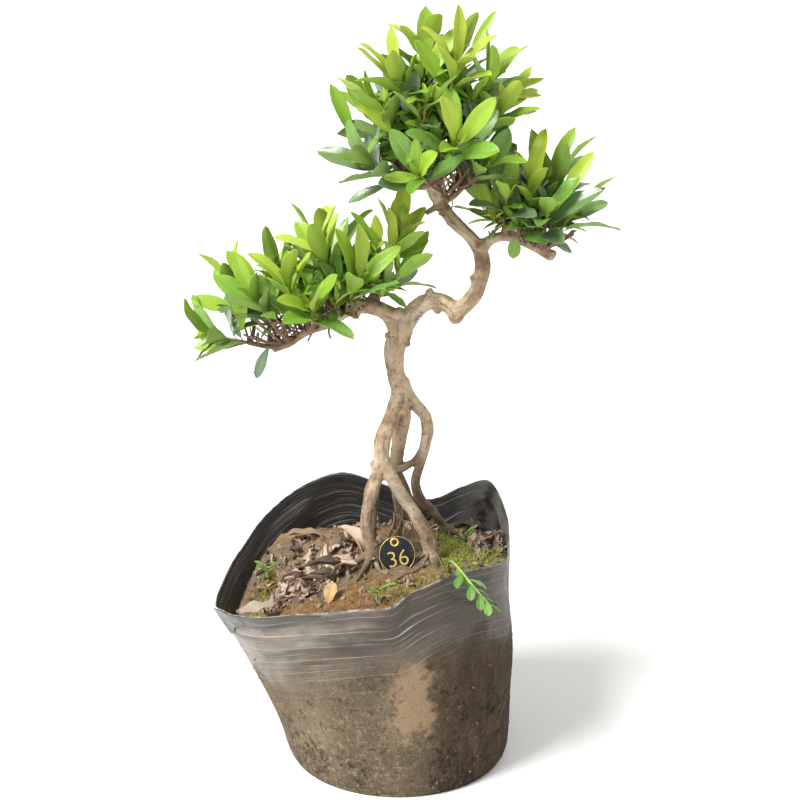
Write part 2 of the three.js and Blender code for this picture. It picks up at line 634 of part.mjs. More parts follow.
function herbLeafPose(herb, seed, i) {
  const curve = new THREE.CatmullRomCurve3(herb.path.map(vec));
  const t = mix(herb.from, 0.97, i / (2 * herb.pairs - 1));
  const along = curve.getTangent(t);
  const level = new THREE.Vector3().crossVectors(along, up).normalize();
  const way = i % 2 === 0 ? 1 : -1;
  const ahead = along.clone().multiplyScalar(0.75).addScaledVector(level, way * 0.8);
  ahead.addScaledVector(up, 0.3 * (draw(seed, i, 1) - 0.4)).normalize();
  const face = up.clone().addScaledVector(ahead, -ahead.z).normalize();
  return {
    root: curve.getPoint(t),
    ahead,
    face,
    side: new THREE.Vector3().crossVectors(face, ahead),
    length: herb.leaf[0] * (0.8 + 0.35 * draw(seed, i, 2)),
    width: herb.leaf[1],
    bend: 0.5,
    fold: 0.25,
  };
}

function makeHerb(herb, seed) {
  const curve = new THREE.CatmullRomCurve3(herb.path.map(vec));
  const pieces = [tube(curve, () => herb.radius, 4, herb.path.length)];
  for (let i = 0; i < 2 * herb.pairs; i++) {
    pieces.push(solid(blade(herbLeafPose(herb, seed, i), herbRibs)));
  }
  return largest(wasm.Manifold.union(pieces));
}

// Fallen leaves: where the middle lies, the way the tip points, length, width, bend and fold.
const fallen = {
  litter_pale: { at: [-47, -58], turn: 80, lift: 50, size: [18, 10], bend: 0.5, fold: 0.3 },
  litter_dark: { at: [-50, -26], turn: 30, lift: 6, size: [38, 14], bend: 0.7, fold: 0.75 },
  litter_sheet: { at: [-97, -44], turn: 200, lift: 4, size: [27, 17], bend: 0.35, fold: 0.2 },
  litter_back: { at: [-70, 44], turn: 165, lift: 8, size: [32, 14], bend: 0.5, fold: 0.45 },
  litter_right: { at: [61, 12], turn: 75, lift: 8, size: [25, 14], bend: 1.3, fold: 0.5 },
  litter_rear: { at: [50, 56], turn: 140, lift: 6, size: [28, 12], bend: 0.8, fold: 0.5 },
};

const dropFrom = 50; // a fallen leaf is let go this far above the soil's crown
const dropHeight = 120; // and falls this far at most

// Lowers a piece straight down until only the gap is left above what it lands on.
function settle(piece, ground) {
  let high = 0;
  let low = -dropHeight;
  for (let i = 0; i < 18; i++) {
    const middle = (high + low) / 2;
    const moved = piece.translate([0, 0, middle]);
    const clear = ground.every((g) => moved.intersect(g).isEmpty() && moved.minGap(g, gap + 1) > gap);
    if (clear) high = middle;
    else low = middle;
  }
  return piece.translate([0, 0, high]);
}

function makeFallen({ at, turn, lift, size, bend, fold }) {
  const level = new THREE.Vector3(Math.cos(turn * degree), Math.sin(turn * degree), 0);
  const ahead = level.clone().multiplyScalar(Math.cos(lift * degree));
  ahead.addScaledVector(up, Math.sin(lift * degree));
  const face = up.clone().addScaledVector(ahead, -ahead.z).normalize();
  const root = vec([at[0], at[1], soil.crown + dropFrom]).addScaledVector(ahead, -size[0] / 2);
  const side = new THREE.Vector3().crossVectors(face, ahead);
  const pose = { root, ahead, face, side, length: size[0], width: size[1], bend, fold };
  return solid(blade(pose, [0.03, ...leafRibs]));
}

// The number tag: a disc with a hole, leaning back with its foot in a slot of the soil.
const tag = {
  radius: 12.5, thickness: 1.4, hole: 1.7, holeAt: 8.6,
  centre: [-2, -27, 157], lean: 21, tilt: 12,
};

function makeTag(grow = 0) {
  const shape = new THREE.Shape().absarc(0, 0, tag.radius + grow, 0, 2 * Math.PI);
  if (!grow) shape.holes.push(new THREE.Path().absarc(0, tag.holeAt, tag.hole, 0, 2 * Math.PI, true));
  const depth = tag.thickness + 2 * grow;
  const disc = new THREE.ExtrudeGeometry(shape, { depth, bevelEnabled: false, curveSegments: 14 });
  disc.translate(0, 0, -depth / 2).rotateZ(tag.tilt * degree);
  disc.rotateX((90 - tag.lean) * degree).translate(...tag.centre);
  return solid(disc);
}

const rootLimbs = ["leftLeg", "rightLeg", "backStem", "backRoot", "sideStem", "innerRoot", "toeLeft",
  "toeOuter", "toeRight", "toeBack"];
const shoots = allShoots();
const stubCurves = stubs.map((s) => new THREE.CatmullRomCurve3(s.map(vec)));
const woodSolid = wasm.Manifold.union([
  ...Object.keys(limbs).map((name) => limb(name)),
  ...knots.map(knot),
  ...stubCurves.map((curve) => tube(curve, (t) => mix(...stubRadii, t), 5, 2)),
  ...shoots.filter((shoot) => !shoot.onTip).map(twig),
]);
const woodGeometry = geometryFrom(woodSolid);
growLeaves(shoots, woodGeometry);

const bagSolid = makeBag();
const tagSolid = makeTag();
const herbSolids = Object.values(herbs).map((herb, i) => makeHerb(herb, 900 + i));
const herbHoles = Object.values(herbs).map((herb) => {
  const curve = new THREE.CatmullRomCurve3(herb.path.map(vec));
  return tube(curve, () => herb.radius, 4, herb.path.length, gap + 0.15);
});
const rootHoles = rootLimbs.map((name) => limb(name, gap + 0.1));
const soilSolid = makeSoil([...rootHoles, ...herbHoles, makeTag(gap)]);
const ground = [soilSolid, bagSolid, woodSolid, tagSolid, ...herbSolids];

const colours = {
  bag: { color: 0x2b2927, roughness: 0.55 },
  soil: { color: 0x6b5138, roughness: 1 },
  wood: { color: 0x9a7f62, roughness: 0.85 },
  leaf: { color: 0x6ea52a, roughness: 0.4 },
  tag: { color: 0x15161a, roughness: 0.3 },
  herb: { color: 0x7bb04a, roughness: 0.6 },
  litter: { color: 0xa98560, roughness: 0.9 },
};
const materials = {};
for (const [name, look] of Object.entries(colours)) {
  materials[name] = new THREE.MeshStandardMaterial({ ...look, metalness: 0, flatShading: true });
}

const bonsai = new THREE.Group();
function add(name, made, material) {
  const mesh = new THREE.Mesh(geometryFrom(made), materials[material]);
  mesh.name = name;
  bonsai.add(mesh);
}

add("bag", bagSolid, "bag");
add("soil", soilSolid, "soil");
add("wood", largest(woodSolid), "wood");
add("tag", tagSolid, "tag");
Object.keys(herbs).forEach((name, i) => add(name, herbSolids[i], "herb"));
for (const [name, leaf] of Object.entries(fallen)) {
  const resting = settle(makeFallen(leaf), ground);
  ground.push(resting);
  add(name, resting, "litter");
}
for (const shoot of shoots) {
  add(shoot.name, leafyShoot(shoot), "leaf");
}

export default bonsai;
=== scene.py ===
# A Chinese distylium bonsai in its black nursery bag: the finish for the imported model.
import bpy
import numpy as np
from math import acos, atan2, cos, pi, radians, sin, sqrt
from mathutils import Matrix, Vector, noise
from mathutils.bvhtree import BVHTree
from mathutils.kdtree import KDTree
from numpy.linalg import norm


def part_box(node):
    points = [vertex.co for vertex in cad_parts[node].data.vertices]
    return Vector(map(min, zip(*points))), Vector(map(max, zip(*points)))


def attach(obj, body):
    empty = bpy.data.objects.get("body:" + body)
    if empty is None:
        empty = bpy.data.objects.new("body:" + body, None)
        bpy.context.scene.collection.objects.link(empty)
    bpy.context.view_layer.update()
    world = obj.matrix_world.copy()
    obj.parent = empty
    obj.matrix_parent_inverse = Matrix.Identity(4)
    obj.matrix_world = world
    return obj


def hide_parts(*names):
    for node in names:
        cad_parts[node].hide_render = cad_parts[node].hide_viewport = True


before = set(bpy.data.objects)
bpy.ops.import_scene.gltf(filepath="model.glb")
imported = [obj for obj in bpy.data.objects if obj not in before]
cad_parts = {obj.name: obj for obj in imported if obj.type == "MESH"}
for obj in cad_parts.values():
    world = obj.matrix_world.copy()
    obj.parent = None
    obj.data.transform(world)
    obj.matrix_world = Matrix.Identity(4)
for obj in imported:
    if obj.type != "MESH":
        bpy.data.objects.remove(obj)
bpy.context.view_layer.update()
bpy.ops.object.select_all(action="DESELECT")
mm = 0.001
up = np.array([0.0, 0.0, 1.0])
goldenAngle = pi * (3 - sqrt(5))
print("frame loaded:", len(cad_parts), "nodes")


# small tools

def draw(*keys):
    # the same repeatable number from 0 to 1 as the part draws
    h = 2166136261
    for key in keys:
        h = ((h ^ key) * 16777619) & 0xFFFFFFFF
        h = ((h ^ (h >> 15)) * 2246822519) & 0xFFFFFFFF
        h ^= h >> 13
    return h / 4294967296


def mix(a, b, t):
    return a + (b - a) * t


def ramp(low, high, value):
    # 0 below low, 1 above high, smooth between
    t = np.clip((value - low) / (high - low), 0, 1)
    return t * t * (3 - 2 * t)


def vec(*numbers):
    return np.array(numbers, float)


def unit(v):
    return v / norm(v)


def turned(v, axis, angle):
    c, s = cos(angle), sin(angle)
    return v * c + np.cross(axis, v) * s + axis * np.dot(axis, v) * (1 - c)


def squared(face, ahead):
    # the direction nearest to face that stands square to ahead
    return unit(face - ahead * np.dot(face, ahead))


def curvePoint(path, t, closed=False):
    # a centripetal Catmull-Rom curve through the path's points
    count = len(path)
    place = (count - (0 if closed else 1)) * t
    i = int(place)
    w = place - i
    if not closed and i >= count - 1:
        i, w = count - 2, 1.0
    at = lambda k: vec(*path[k % count][:3])
    p1, p2 = at(i), at(i + 1)
    p0 = at(i - 1) if closed or i > 0 else 2 * p1 - p2
    p3 = at(i + 2) if closed or i + 2 < count else 2 * p2 - p1
    d0, d1, d2 = (norm(b - a) ** 0.5 for a, b in ((p0, p1), (p1, p2), (p2, p3)))
    leave = ((p1 - p0) / d0 - (p2 - p0) / (d0 + d1) + (p2 - p1) / d1) * d1
    arrive = ((p2 - p1) / d1 - (p3 - p1) / (d1 + d2) + (p3 - p2) / d2) * d1
    return (p1 + leave * w + (-3 * p1 + 3 * p2 - 2 * leave - arrive) * w ** 2
            + (2 * p1 - 2 * p2 + leave + arrive) * w ** 3)


def curveTangent(path, t):
    return unit(curvePoint(path, min(1, t + 1e-4)) - curvePoint(path, max(0, t - 1e-4)))


def activate(piece):
    bpy.ops.object.select_all(action="DESELECT")
    piece.select_set(True)
    bpy.context.view_layer.objects.active = piece


def added(name):
    # the object that an add operator has just made
    piece = bpy.context.active_object
    piece.name = name
    return piece


def linked(name, data):
    piece = bpy.data.objects.new(name, data)
    bpy.context.collection.objects.link(piece)
    return piece


def grid(name, across, along):
    bpy.ops.mesh.primitive_grid_add(x_subdivisions=across, y_subdivisions=along, size=2)
    return added(name)


def modified(piece, kind, **settings):
    # a modifier with its settings, applied at once
    modifier = piece.modifiers.new(kind.lower(), kind)
    for key, value in settings.items():
        setattr(modifier, key, value)
    activate(piece)
    bpy.ops.object.modifier_apply(modifier=modifier.name)


def edited(piece, operator, **settings):
    # one edit-mode operator on the whole piece
    activate(piece)
    bpy.ops.object.mode_set(mode="EDIT")
    bpy.ops.mesh.select_all(action="SELECT")
    operator(**settings)
    bpy.ops.object.mode_set(mode="OBJECT")


def pointsOf(piece):
    flat = np.empty(len(piece.data.vertices) * 3)
    piece.data.vertices.foreach_get("co", flat)
    return flat.reshape(-1, 3)


def movePoints(piece, points):
    piece.data.vertices.foreach_set("co", np.asarray(points, float).ravel())
    piece.data.update()
    return piece


def normalsOf(piece):
    flat = np.empty(len(piece.data.vertices) * 3, np.float32)
    piece.data.vertex_normals.foreach_get("vector", flat)
    return flat.reshape(-1, 3).astype(float)


def paint(piece, **values):
    # values for each point, for the materials to read
    for name, row in values.items():
        held = piece.data.attributes.get(name) or piece.data.attributes.new(name, "FLOAT", "POINT")
        row = np.broadcast_to(np.asarray(row, np.float32), len(piece.data.vertices))
        held.data.foreach_set("value", np.ascontiguousarray(row))
    return piece


def unrolled(piece, pattern):
    # the flat pattern of a sheet, in metres for each point
    layer = piece.data.uv_layers.active or piece.data.uv_layers.new(name="UVMap")
    corner = np.empty(len(piece.data.loops), np.int32)
    piece.data.loops.foreach_get("vertex_index", corner)
    layer.data.foreach_set("uv", pattern[corner].ravel())


def joined(pieces, name):
    activate(pieces[0])
    for piece in pieces:
        piece.select_set(True)
    bpy.ops.object.join()
    return added(name)


def copied(template, name, points, **values):
    return paint(movePoints(linked(name, template.data.copy()), points), **values)


def repeated(template, name, copies, **values):
    # one mesh of many copies of a template, each with its own points and its own attribute values
    count = len(template.data.vertices)
    faces = [list(face.vertices) for face in template.data.polygons]
    mesh = bpy.data.meshes.new(name)
    mesh.from_pydata(np.concatenate(copies).tolist(), [],
                     [[v + count * k for v in face] for k in range(len(copies)) for face in faces])
    pattern = template.data.uv_layers.active
    if pattern:
        uv = np.empty(len(template.data.loops) * 2, np.float32)
        pattern.data.foreach_get("uv", uv)
        mesh.uv_layers.new(name="UVMap").data.foreach_set("uv", np.tile(uv, len(copies)))
    remove(template)
    return paint(linked(name, mesh), **{key: np.repeat(vec(*row), count) for key, row in values.items()})


def dress(piece, slotName, material, *nodes):
    # smooth shading, one material, its body and the solids that it stands for
    activate(piece)
    bpy.ops.object.transform_apply(location=True, rotation=True, scale=True)
    bpy.ops.object.shade_smooth_by_angle(angle=radians(50))
    piece.data.materials.clear()
    piece.data.materials.append(material)
    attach(piece, "root")
    if nodes:
        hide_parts(*nodes)
    return piece


def remove(piece):
    bpy.data.objects.remove(piece, do_unlink=True)


def wavy(points, size, seed=0.0):
    # smooth noise from about -1 to 1 at each point, with hills of that size in mm
    scale = 1 / (size * mm)
    return np.array([noise.noise(Vector((p[0] * scale + seed, p[1] * scale, p[2] * scale))) for p in points])


def treeOf(piece):
    return BVHTree.FromPolygons([v.co.copy() for v in piece.data.vertices],
                                [tuple(f.vertices) for f in piece.data.polygons])


# shader nodes

class Value:
    # one output of a node, so that masks are added and multiplied as they read
    def __init__(self, wires, socket):
        self.wires, self.socket = wires, socket

    def __add__(self, other):
        return self.wires.math("ADD", self, other)

    def __sub__(self, other):
        return self.wires.math("SUBTRACT", self, other)

    def __rsub__(self, other):
        return self.wires.math("SUBTRACT", other, self)

    def __mul__(self, other):
        return self.wires.math("MULTIPLY", self, other)

    def rises(self, low, high, start=0.0, end=1.0):
        # smooth from start at low to end at high
        settings = {"interpolation_type": "SMOOTHSTEP"}
        return self.wires.value("MapRange", 0, self, low, high, start, end, settings=settings)

    def falls(self, low, high, end=0.0):
        return self.rises(low, high, 1.0, end)


class Wires:
    # short ways to add and join the nodes of one tree
    def __init__(self, tree):
        self.tree = tree

    def add(self, kind, *values, settings={}, **inputs):
        # a node with its settings; plain values go to its first sockets in turn
        node = self.tree.nodes.new("ShaderNode" + kind)
        count = len(self.tree.nodes)
        node.location = (180 * (count % 12), -220 * (count // 12))
        for key, value in settings.items():
            setattr(node, key, value)
        for key, value in [*enumerate(values), *inputs.items()]:
            self.feed(node.inputs[key], value)
        return node

    def value(self, kind, output, *values, **inputs):
        return Value(self, self.add(kind, *values, **inputs).outputs[output])

    def feed(self, socket, value):
        if isinstance(value, Value):
            self.tree.links.new(value.socket, socket)
        elif value is not None:
            socket.default_value = (*value, 1) if socket.type == "RGBA" else value

    def math(self, operation, *values):
        return self.value("Math", 0, *values, settings={"operation": operation})

    def largest(self, a, b):
        return self.math("MAXIMUM", a, b)

    def blend(self, share, a, b, mode="MIX"):
        node = self.add("Mix", share, settings={"data_type": "RGBA", "blend_type": mode})
        self.feed(node.inputs[6], a)
        self.feed(node.inputs[7], b)
        return Value(self, node.outputs[2])

    def coats(self, colour, *layers):
        # colours laid one over the other, each with its share
        for share, over in layers:
            colour = self.blend(share, colour, over)
        return colour

    def shades(self, share, *stops):
        # a colour ramp of places and colours, the ends first
        node = self.add("ValToRGB", share)
        held = node.color_ramp.elements
        for element, (place, colour) in zip(held, stops):
            element.position, element.color = place, (*colour, 1)
        for place, colour in stops[2:]:
            held.new(place).color = (*colour, 1)
        return Value(self, node.outputs[0])

    def grain(self, scale, detail=3.0, roughness=0.55, vector=None, stretch=None):
        # smooth noise, on the object's coordinates unless told otherwise
        vector = vector or self.place
        if stretch:
            vector = self.value("Mapping", 0, Vector=vector, Scale=stretch)
        return self.value("TexNoise", "Fac", Vector=vector, Scale=scale, Detail=detail, Roughness=roughness)

    def attribute(self, name):
        return self.value("Attribute", "Fac", settings={"attribute_name": name})

    def uv(self):
        return self.value("UVMap", 0)

    def parts(self, vector):
        node = self.add("SeparateXYZ", vector)
        return [Value(self, socket) for socket in node.outputs]

    def ribAndShare(self):
        # how far a point lies from a leaf's rib, and its share of the leaf's length
        across, along, _ = self.parts(self.uv())
        return self.math("ABSOLUTE", across - 0.5), along

    def speckled(self, scale, share):
        return self.value("Group", 0, self.place, scale, share, settings={"node_tree": speckle})

    def mottled(self, broad, fine, contrast):
        return self.value("Group", 0, self.place, broad, fine, contrast, settings={"node_tree": mottle})

    def finished(self, colour, relief=None, depth=0.0, strength=1.0, **inputs):
        # feeds the shader, with a bump of that depth in metres
        if relief:
            inputs["Normal"] = self.value("Bump", 0, Height=relief, Distance=depth, Strength=strength)
        for key, value in {"Base_Color": colour, **inputs}.items():
            self.feed(self.shader.inputs[key.replace("_", " ")], value)
        return self.material


def newMaterial(name, **fixed):
    material = bpy.data.materials.new(name)
    material.use_nodes = True
    w = Wires(material.node_tree)
    w.material, w.shader = material, material.node_tree.nodes["Principled BSDF"]
    for key, value in fixed.items():
        w.shader.inputs[key.replace("_", " ")].default_value = value
    w.place = w.value("TexCoord", "Object")
    return w


def newGroup(name, output, build, **inputs):
    # a shared effect on a vector, with its own number sockets and one output
    group = bpy.data.node_groups.new(name, "ShaderNodeTree")
    group.interface.new_socket("Vector", in_out="INPUT", socket_type="NodeSocketVector")
    for label, value in inputs.items():
        group.interface.new_socket(label, in_out="INPUT", socket_type="NodeSocketFloat").default_value = value
    group.interface.new_socket(output, in_out="OUTPUT", socket_type="NodeSocketFloat")
    w = Wires(group)
    w.place, *given = [Value(w, socket) for socket in group.nodes.new("NodeGroupInput").outputs][:-1]
    w.feed(group.nodes.new("NodeGroupOutput").inputs[0], build(w, *given))
    return group


def speckleMask(w, scale, share):
    # small scattered dots, 1 on a dot
    cell = w.add("TexVoronoi", Vector=w.place, Scale=scale)
    shade = w.value("SeparateColor", 0, Value(w, cell.outputs["Color"]))
    return w.math("LESS_THAN", shade, share) * Value(w, cell.outputs["Distance"]).falls(0.12, 0.34)


def mottleValue(w, broad, fine, contrast):
    # broad and fine patches together, from 0 to 1
    both = w.grain(broad, 2) * 0.55 + w.grain(fine, 5, 0.65) * 0.45
    return w.value("Clamp", 0, (both - 0.5) * contrast + 0.5)


speckle = newGroup("speckle", "Mask", speckleMask, Scale=500.0, Share=0.3)
mottle = newGroup("mottle", "Value", mottleValue, Broad=30.0, Fine=240.0, Contrast=1.0)


# wood: round limbs from the same points as the solid, melted together and carved with bark

# each limb is a list of points x, y, z and radius, in mm
limbs = {
    "trunk": [[-12, -9, 214, 5.6], [-12, -7, 232, 5.7], [-6, -3, 247, 6], [1, 0, 264, 7.6],
              [-3, 0, 279, 6.5], [-4, 0, 293, 6.9], [-1, 0, 306, 7.6], [2, 0, 317, 6.4]],
    "leftLeg": [[-12, -9, 219, 5.4], [-19, -13, 199, 4.5], [-23, -17, 182, 4.2],
                [-22, -19, 167, 4.2], [-18, -20, 156, 4.8], [-17, -21, 141, 4.2]],
    "rightLeg": [[-12, -9, 219, 5.4], [-1, -13, 199, 4.8], [11, -17, 182, 4.6],
                 [18, -18, 168, 4.7], [21, -19, 156, 5.2], [22, -20, 141, 4.4]],
    "backStem": [[0, 0, 268, 5], [2, 7, 247, 5.6], [-1, 14, 226, 5.3], [-3, 19, 207, 4.8],
                 [-3, 24, 186, 3.2], [-1, 27, 169, 2.9], [0, 30, 151, 3.3], [0, 31, 137, 2.6]],
    "backRoot": [[-3, 20, 203, 3], [5, 25, 184, 2.9], [9, 28, 168, 2.9], [13, 30, 151, 3.5],
                 [13, 31, 137, 2.8]],
    "sideStem": [[1, 0, 270, 5], [8, 2, 259, 4.6], [17, 6, 246, 4.3], [19, 8, 235, 4.4],
                 [17, 10, 222, 4.1], [14, 13, 208, 3.3], [11, 17, 194, 3.4], [14, 22, 180, 3.6],
                 [23, 27, 168, 3.6], [33, 33, 152, 3.7], [36, 35, 138, 2.8]],
    "bridge": [[17, 10, 223, 2.6], [9, 14, 210, 2.5], [-2, 18, 203, 3.2]],
    "airRoot": [[-13, -9, 210, 2.2], [-21, -11, 204, 1.7], [-24, -13, 194, 1.5], [-22, -17, 179, 1.7]],
    "innerRoot": [[-15, -9, 204, 2.2], [-17, -6, 182, 1.8], [-18, -8, 165, 1.8], [-19, -9, 139, 1.8]],
    "toeLeft": [[-18, -20, 158, 3.2], [-24, -30, 149, 2], [-30, -42, 143.5, 1.3]],
    "toeOuter": [[-19, -20, 157, 3.2], [-30, -22, 149.5, 2.2], [-41, -25, 144, 1.4]],
    "toeRight": [[21, -19, 158, 3.4], [24, -31, 149.5, 2.2], [22, -43, 144.5, 1.4]],
    "toeBack": [[35, 34, 152, 3], [45, 33, 148, 2], [54, 27, 144, 1.3]],
    "leftBranch": [[0, 0, 303, 7], [-5, 0, 317, 6.3], [-12, -1, 323, 5.5], [-22, -3, 326, 5],
                   [-31, -5, 326, 5], [-40, -6, 321, 4.5], [-49, -6, 315, 3.7], [-58, -5, 311, 3.1],
                   [-67, -3, 306, 2.8], [-75, -1, 300, 2.9], [-86, 1, 295, 2.5]],
    "rightBranch": [[0, 0, 303, 7], [5, -1, 315, 6.5], [12, -3, 325, 6], [21, -6, 331, 6],
                    [30, -8, 330, 5.5], [37, -9, 325, 6], [44, -8, 329, 5.4], [50, -6, 336, 5.3],
                    [54, -3, 345, 5.2], [55, 0, 354, 5.4], [53, 2, 367, 5.2]],
    "crownBranch": [[54, 1, 362, 4.6], [48, 3, 371, 4.4], [39, 4, 379, 4.3], [32, 4, 387, 4.3],
                    [26, 3, 397, 4.7], [21, 1, 409, 5.6], [19, 0, 419, 4.4]],
    "lobeBranch": [[54, 1, 364, 4.4], [60, -2, 371, 3.8], [67, -5, 374, 3.3], [75, -6, 373, 3.2],
                   [83, -5, 370, 3.3], [92, -3, 365, 3.5], [101, -1, 360, 3.8]],
    "crownLeft": [[20, -1, 408, 3.4], [9, -3, 413, 2.9], [0, -6, 423, 2.3], [-5, -8, 436, 1.7]],
    "crownLow": [[19, -2, 408, 3.2], [10, -8, 408, 2.5], [3, -13, 410, 2.1], [-5, -17, 415, 1.6]],
    "crownUnder": [[27, 3, 396, 3.2], [35, -6, 401, 2.2], [42, -13, 409, 1.6]],
    "crownLeftBack": [[19, 1, 410, 3.2], [9, 8, 421, 2.5], [4, 14, 434, 2.1], [4, 17, 447, 1.7]],
    "crownRight": [[21, 0, 411, 3.4], [33, -5, 419, 2.8], [44, -8, 429, 2.3], [53, -9, 441, 1.7]],
    "crownRightBack": [[21, 2, 410, 3.2], [33, 9, 417, 2.5], [43, 14, 425, 2.1], [50, 17, 436, 1.6]],
    "crownMiddle": [[19, 0, 412, 3.4], [15, 1, 434, 2.6], [20, 2, 455, 2.1], [19, 1, 475, 1.7]],
    "crownFront": [[19, -1, 410, 3.2], [18, -10, 418, 2.4], [14, -17, 430, 2], [15, -22, 444, 1.7]],
    "crownBack": [[20, 2, 410, 3.2], [24, 10, 426, 2.4], [28, 16, 444, 2], [30, 18, 459, 1.7]],
    "leftUpright": [[-23, -3, 326, 3.2], [-33, -7, 332, 2.4], [-40, -10, 338, 2], [-43, -12, 346, 1.7]],
    "leftReturn": [[-23, -3, 326, 3], [-17, 0, 335, 2.2], [-12, 2, 343, 1.9], [-9, 2, 352, 1.7]],
    "leftRear": [[-30, -4, 326, 2.8], [-32, 7, 330, 2.2], [-37, 15, 334, 1.9], [-40, 19, 341, 1.6]],
    "leftTip": [[-82, 1, 297, 2.4], [-89, -2, 298, 2], [-96, -5, 300, 1.8], [-103, -7, 302, 1.6]],
    "leftOuter": [[-73, -1, 302, 2.4], [-78, -8, 307, 2], [-82, -13, 312, 1.8], [-86, -16, 319, 1.6]],
    "leftOuterRear": [[-60, -4, 310, 2.6], [-63, 7, 313, 2.1], [-67, 15, 317, 1.8], [-72, 19, 324, 1.6]],
    "lobeInner": [[70, -5, 374, 2.2], [69, -10, 379, 1.8], [69, -14, 386, 1.5]],
    "lobeRear": [[80, -5, 371, 2.4], [83, 4, 375, 1.9], [86, 11, 383, 1.5]],
    "lobeOuter": [[93, -3, 365, 2.4], [99, -7, 368, 1.9], [103, -9, 375, 1.5]],
    "crownStub": [[29, 3, 395, 2.6], [22, 3, 391, 2.2], [17, 3, 388, 1.7]],
    "leftStub": [[-52, -5, 314, 2.6], [-50, -6, 321, 2.1], [-51, -7, 327, 1.7]],
}

# age: how young the leaves at a pad's centre are, and how much younger per mm above it
pads = [
    {"name": "crown", "from": ["crownBranch"],
     "tips": ["crownLeft", "crownLow", "crownUnder", "crownLeftBack", "crownRight", "crownRightBack",
              "crownMiddle", "crownFront", "crownBack"],
     "centre": [24, -1, 436], "radii": [29, 25, 38], "places": 22, "widest": 136, "phase": 0.4, "age": (0.40, 0.012),
     "outward": 0.8, "upward": 0.75, "slope": 0, "spacing": 17},
    {"name": "lobe", "from": ["lobeBranch"], "tips": ["lobeInner", "lobeRear", "lobeOuter"],
     "centre": [87, -2, 378], "radii": [22, 17, 14], "places": 15, "widest": 122, "phase": 2.2,
     "outward": 0.6, "upward": 0.8, "slope": -0.05, "spacing": 13.5, "age": (0.34, 0.012)},
    {"name": "left", "from": ["leftBranch"],
     "tips": ["leftUpright", "leftReturn", "leftRear", "leftTip", "leftOuter", "leftOuterRear"],
     "centre": [-60, -1, 319], "radii": [47, 25, 16], "places": 18, "widest": 118, "phase": 1.1,
     "outward": 0.75, "upward": 0.75, "slope": 0.24, "spacing": 15.5, "age": (0.36, 0.006)},
]

shootSize = {"gap": 0.35, "stem": 21, "stemSpread": 0.35, "radius": 1.25, "tipRadius": 0.95,
             "sides": 5, "leaves": 8}


def padPoint(pad, out, reach=1, drop=0):
    # the place on a pad's dome that lies that way from its centre
    base = out * vec(*pad["radii"]) * reach + vec(*pad["centre"])
    base[2] += pad["slope"] * (base[0] - pad["centre"][0]) - drop
    return base


def padShoots(pad):
    # where each shoot of a pad starts and which way it grows: the tips, then the dome
    grown = [{"pad": pad, "base": vec(*limbs[name][-1][:3]), "way": curveTangent(limbs[name], 1), "onTip": True}
             for name in pad["tips"]]
    for i in range(pad["places"]):
        polar = acos(1 - (1 - cos(radians(pad["widest"]))) * ((i + 0.5) / pad["places"]))
        turn = i * goldenAngle + pad["phase"]
        out = vec(sin(polar) * cos(turn), sin(polar) * sin(turn), cos(polar))
        base = padPoint(pad, out)
        if all(norm(other["base"] - base) >= pad["spacing"] for other in grown):
            way = unit(out * pad["outward"] + up * pad["upward"])
            grown.append({"pad": pad, "base": base, "way": way, "onTip": False})
    for i, shoot in enumerate(grown):
        shoot["node"] = "shoot_%s_%02d" % (pad["name"], i + 1)
    return grown


shoots = [shoot for pad in pads for shoot in padShoots(pad)]
for k, shoot in enumerate(shoots):
    length = shootSize["stem"] * (1 + shootSize["stemSpread"] * (draw(k, 1) - 0.5))
    sideways = unit(np.cross(shoot["way"], [0.3, 1, 0.2]))
    shoot.update(seed=k, length=length, leaves=shootSize["leaves"] - (1 if draw(k, 2) < 0.35 else 0),
                 forward=turned(sideways, shoot["way"], 2.1 * k))

woodLook = {
    "voxel": 0.76,  # mm between the points of the melted skin
    "twigRadius": 1.7,
    "polish": 5,  # rounds of smoothing
    "ridge": 0.5,  # depth of the lengthwise ridges on a 6 mm limb, mm
    "grain": 0.26,
    "lump": 0.8,
    "ring": 0.45,  # height of the old leaf and cut rings
    "knots": 1.5,  # height of the knots on the feet
    # dark patches round the forks and old leaf rings, stains on the bark with painted shade in the forks' crotches:
    # x, y, z and radius
    "stainsAndForkShade": [[0, -6, 314, 7], [9, -6, 303, 5], [21, -8, 334, 6], [31, -12, 323, 6], [53, -4, 356, 7],
               [51, -6, 340, 5], [55, -2, 368, 6], [28, 2, 392, 6], [38, 3, 379, 5], [20, -3, 411, 8],
               [-30, -6, 322, 6], [-50, -7, 314, 6], [-72, -3, 303, 6], [3, -6, 258, 5], [-14, -12, 214, 6],
               [-22, -18, 178, 5], [14, -17, 178, 5], [84, -6, 370, 7], [98, -4, 362, 7]],
    # burrs and old cuts: x, y, z, radius and how far the middle is sunk
    "burrs": [[37, -11, 322, 6, 1.6], [54, 1, 366, 5.9, 0], [22, 0, 411, 6.8, 0], [20, -8, 337, 3.6, 1.2],
              [25, -9, 325, 3.2, 0.6], [49, -3, 345, 2.6, 0.4], [57, -3, 352, 2.3, 0.3], [-1, -4, 322, 4.2, 0.8],
              [-9, -4, 306, 2.2, 0.3], [5, -3, 300, 2.6, 0.5], [34, 2, 382, 3.0, 0.5], [4, -5, 251, 2.8, 0.6],
              [100, -2, 361, 4.1, 0.9], [-30, -7, 321, 3, 0.3], [-18, -7, 216, 3, 0], [-48, -8, 317, 2.6, 0.3]],
}


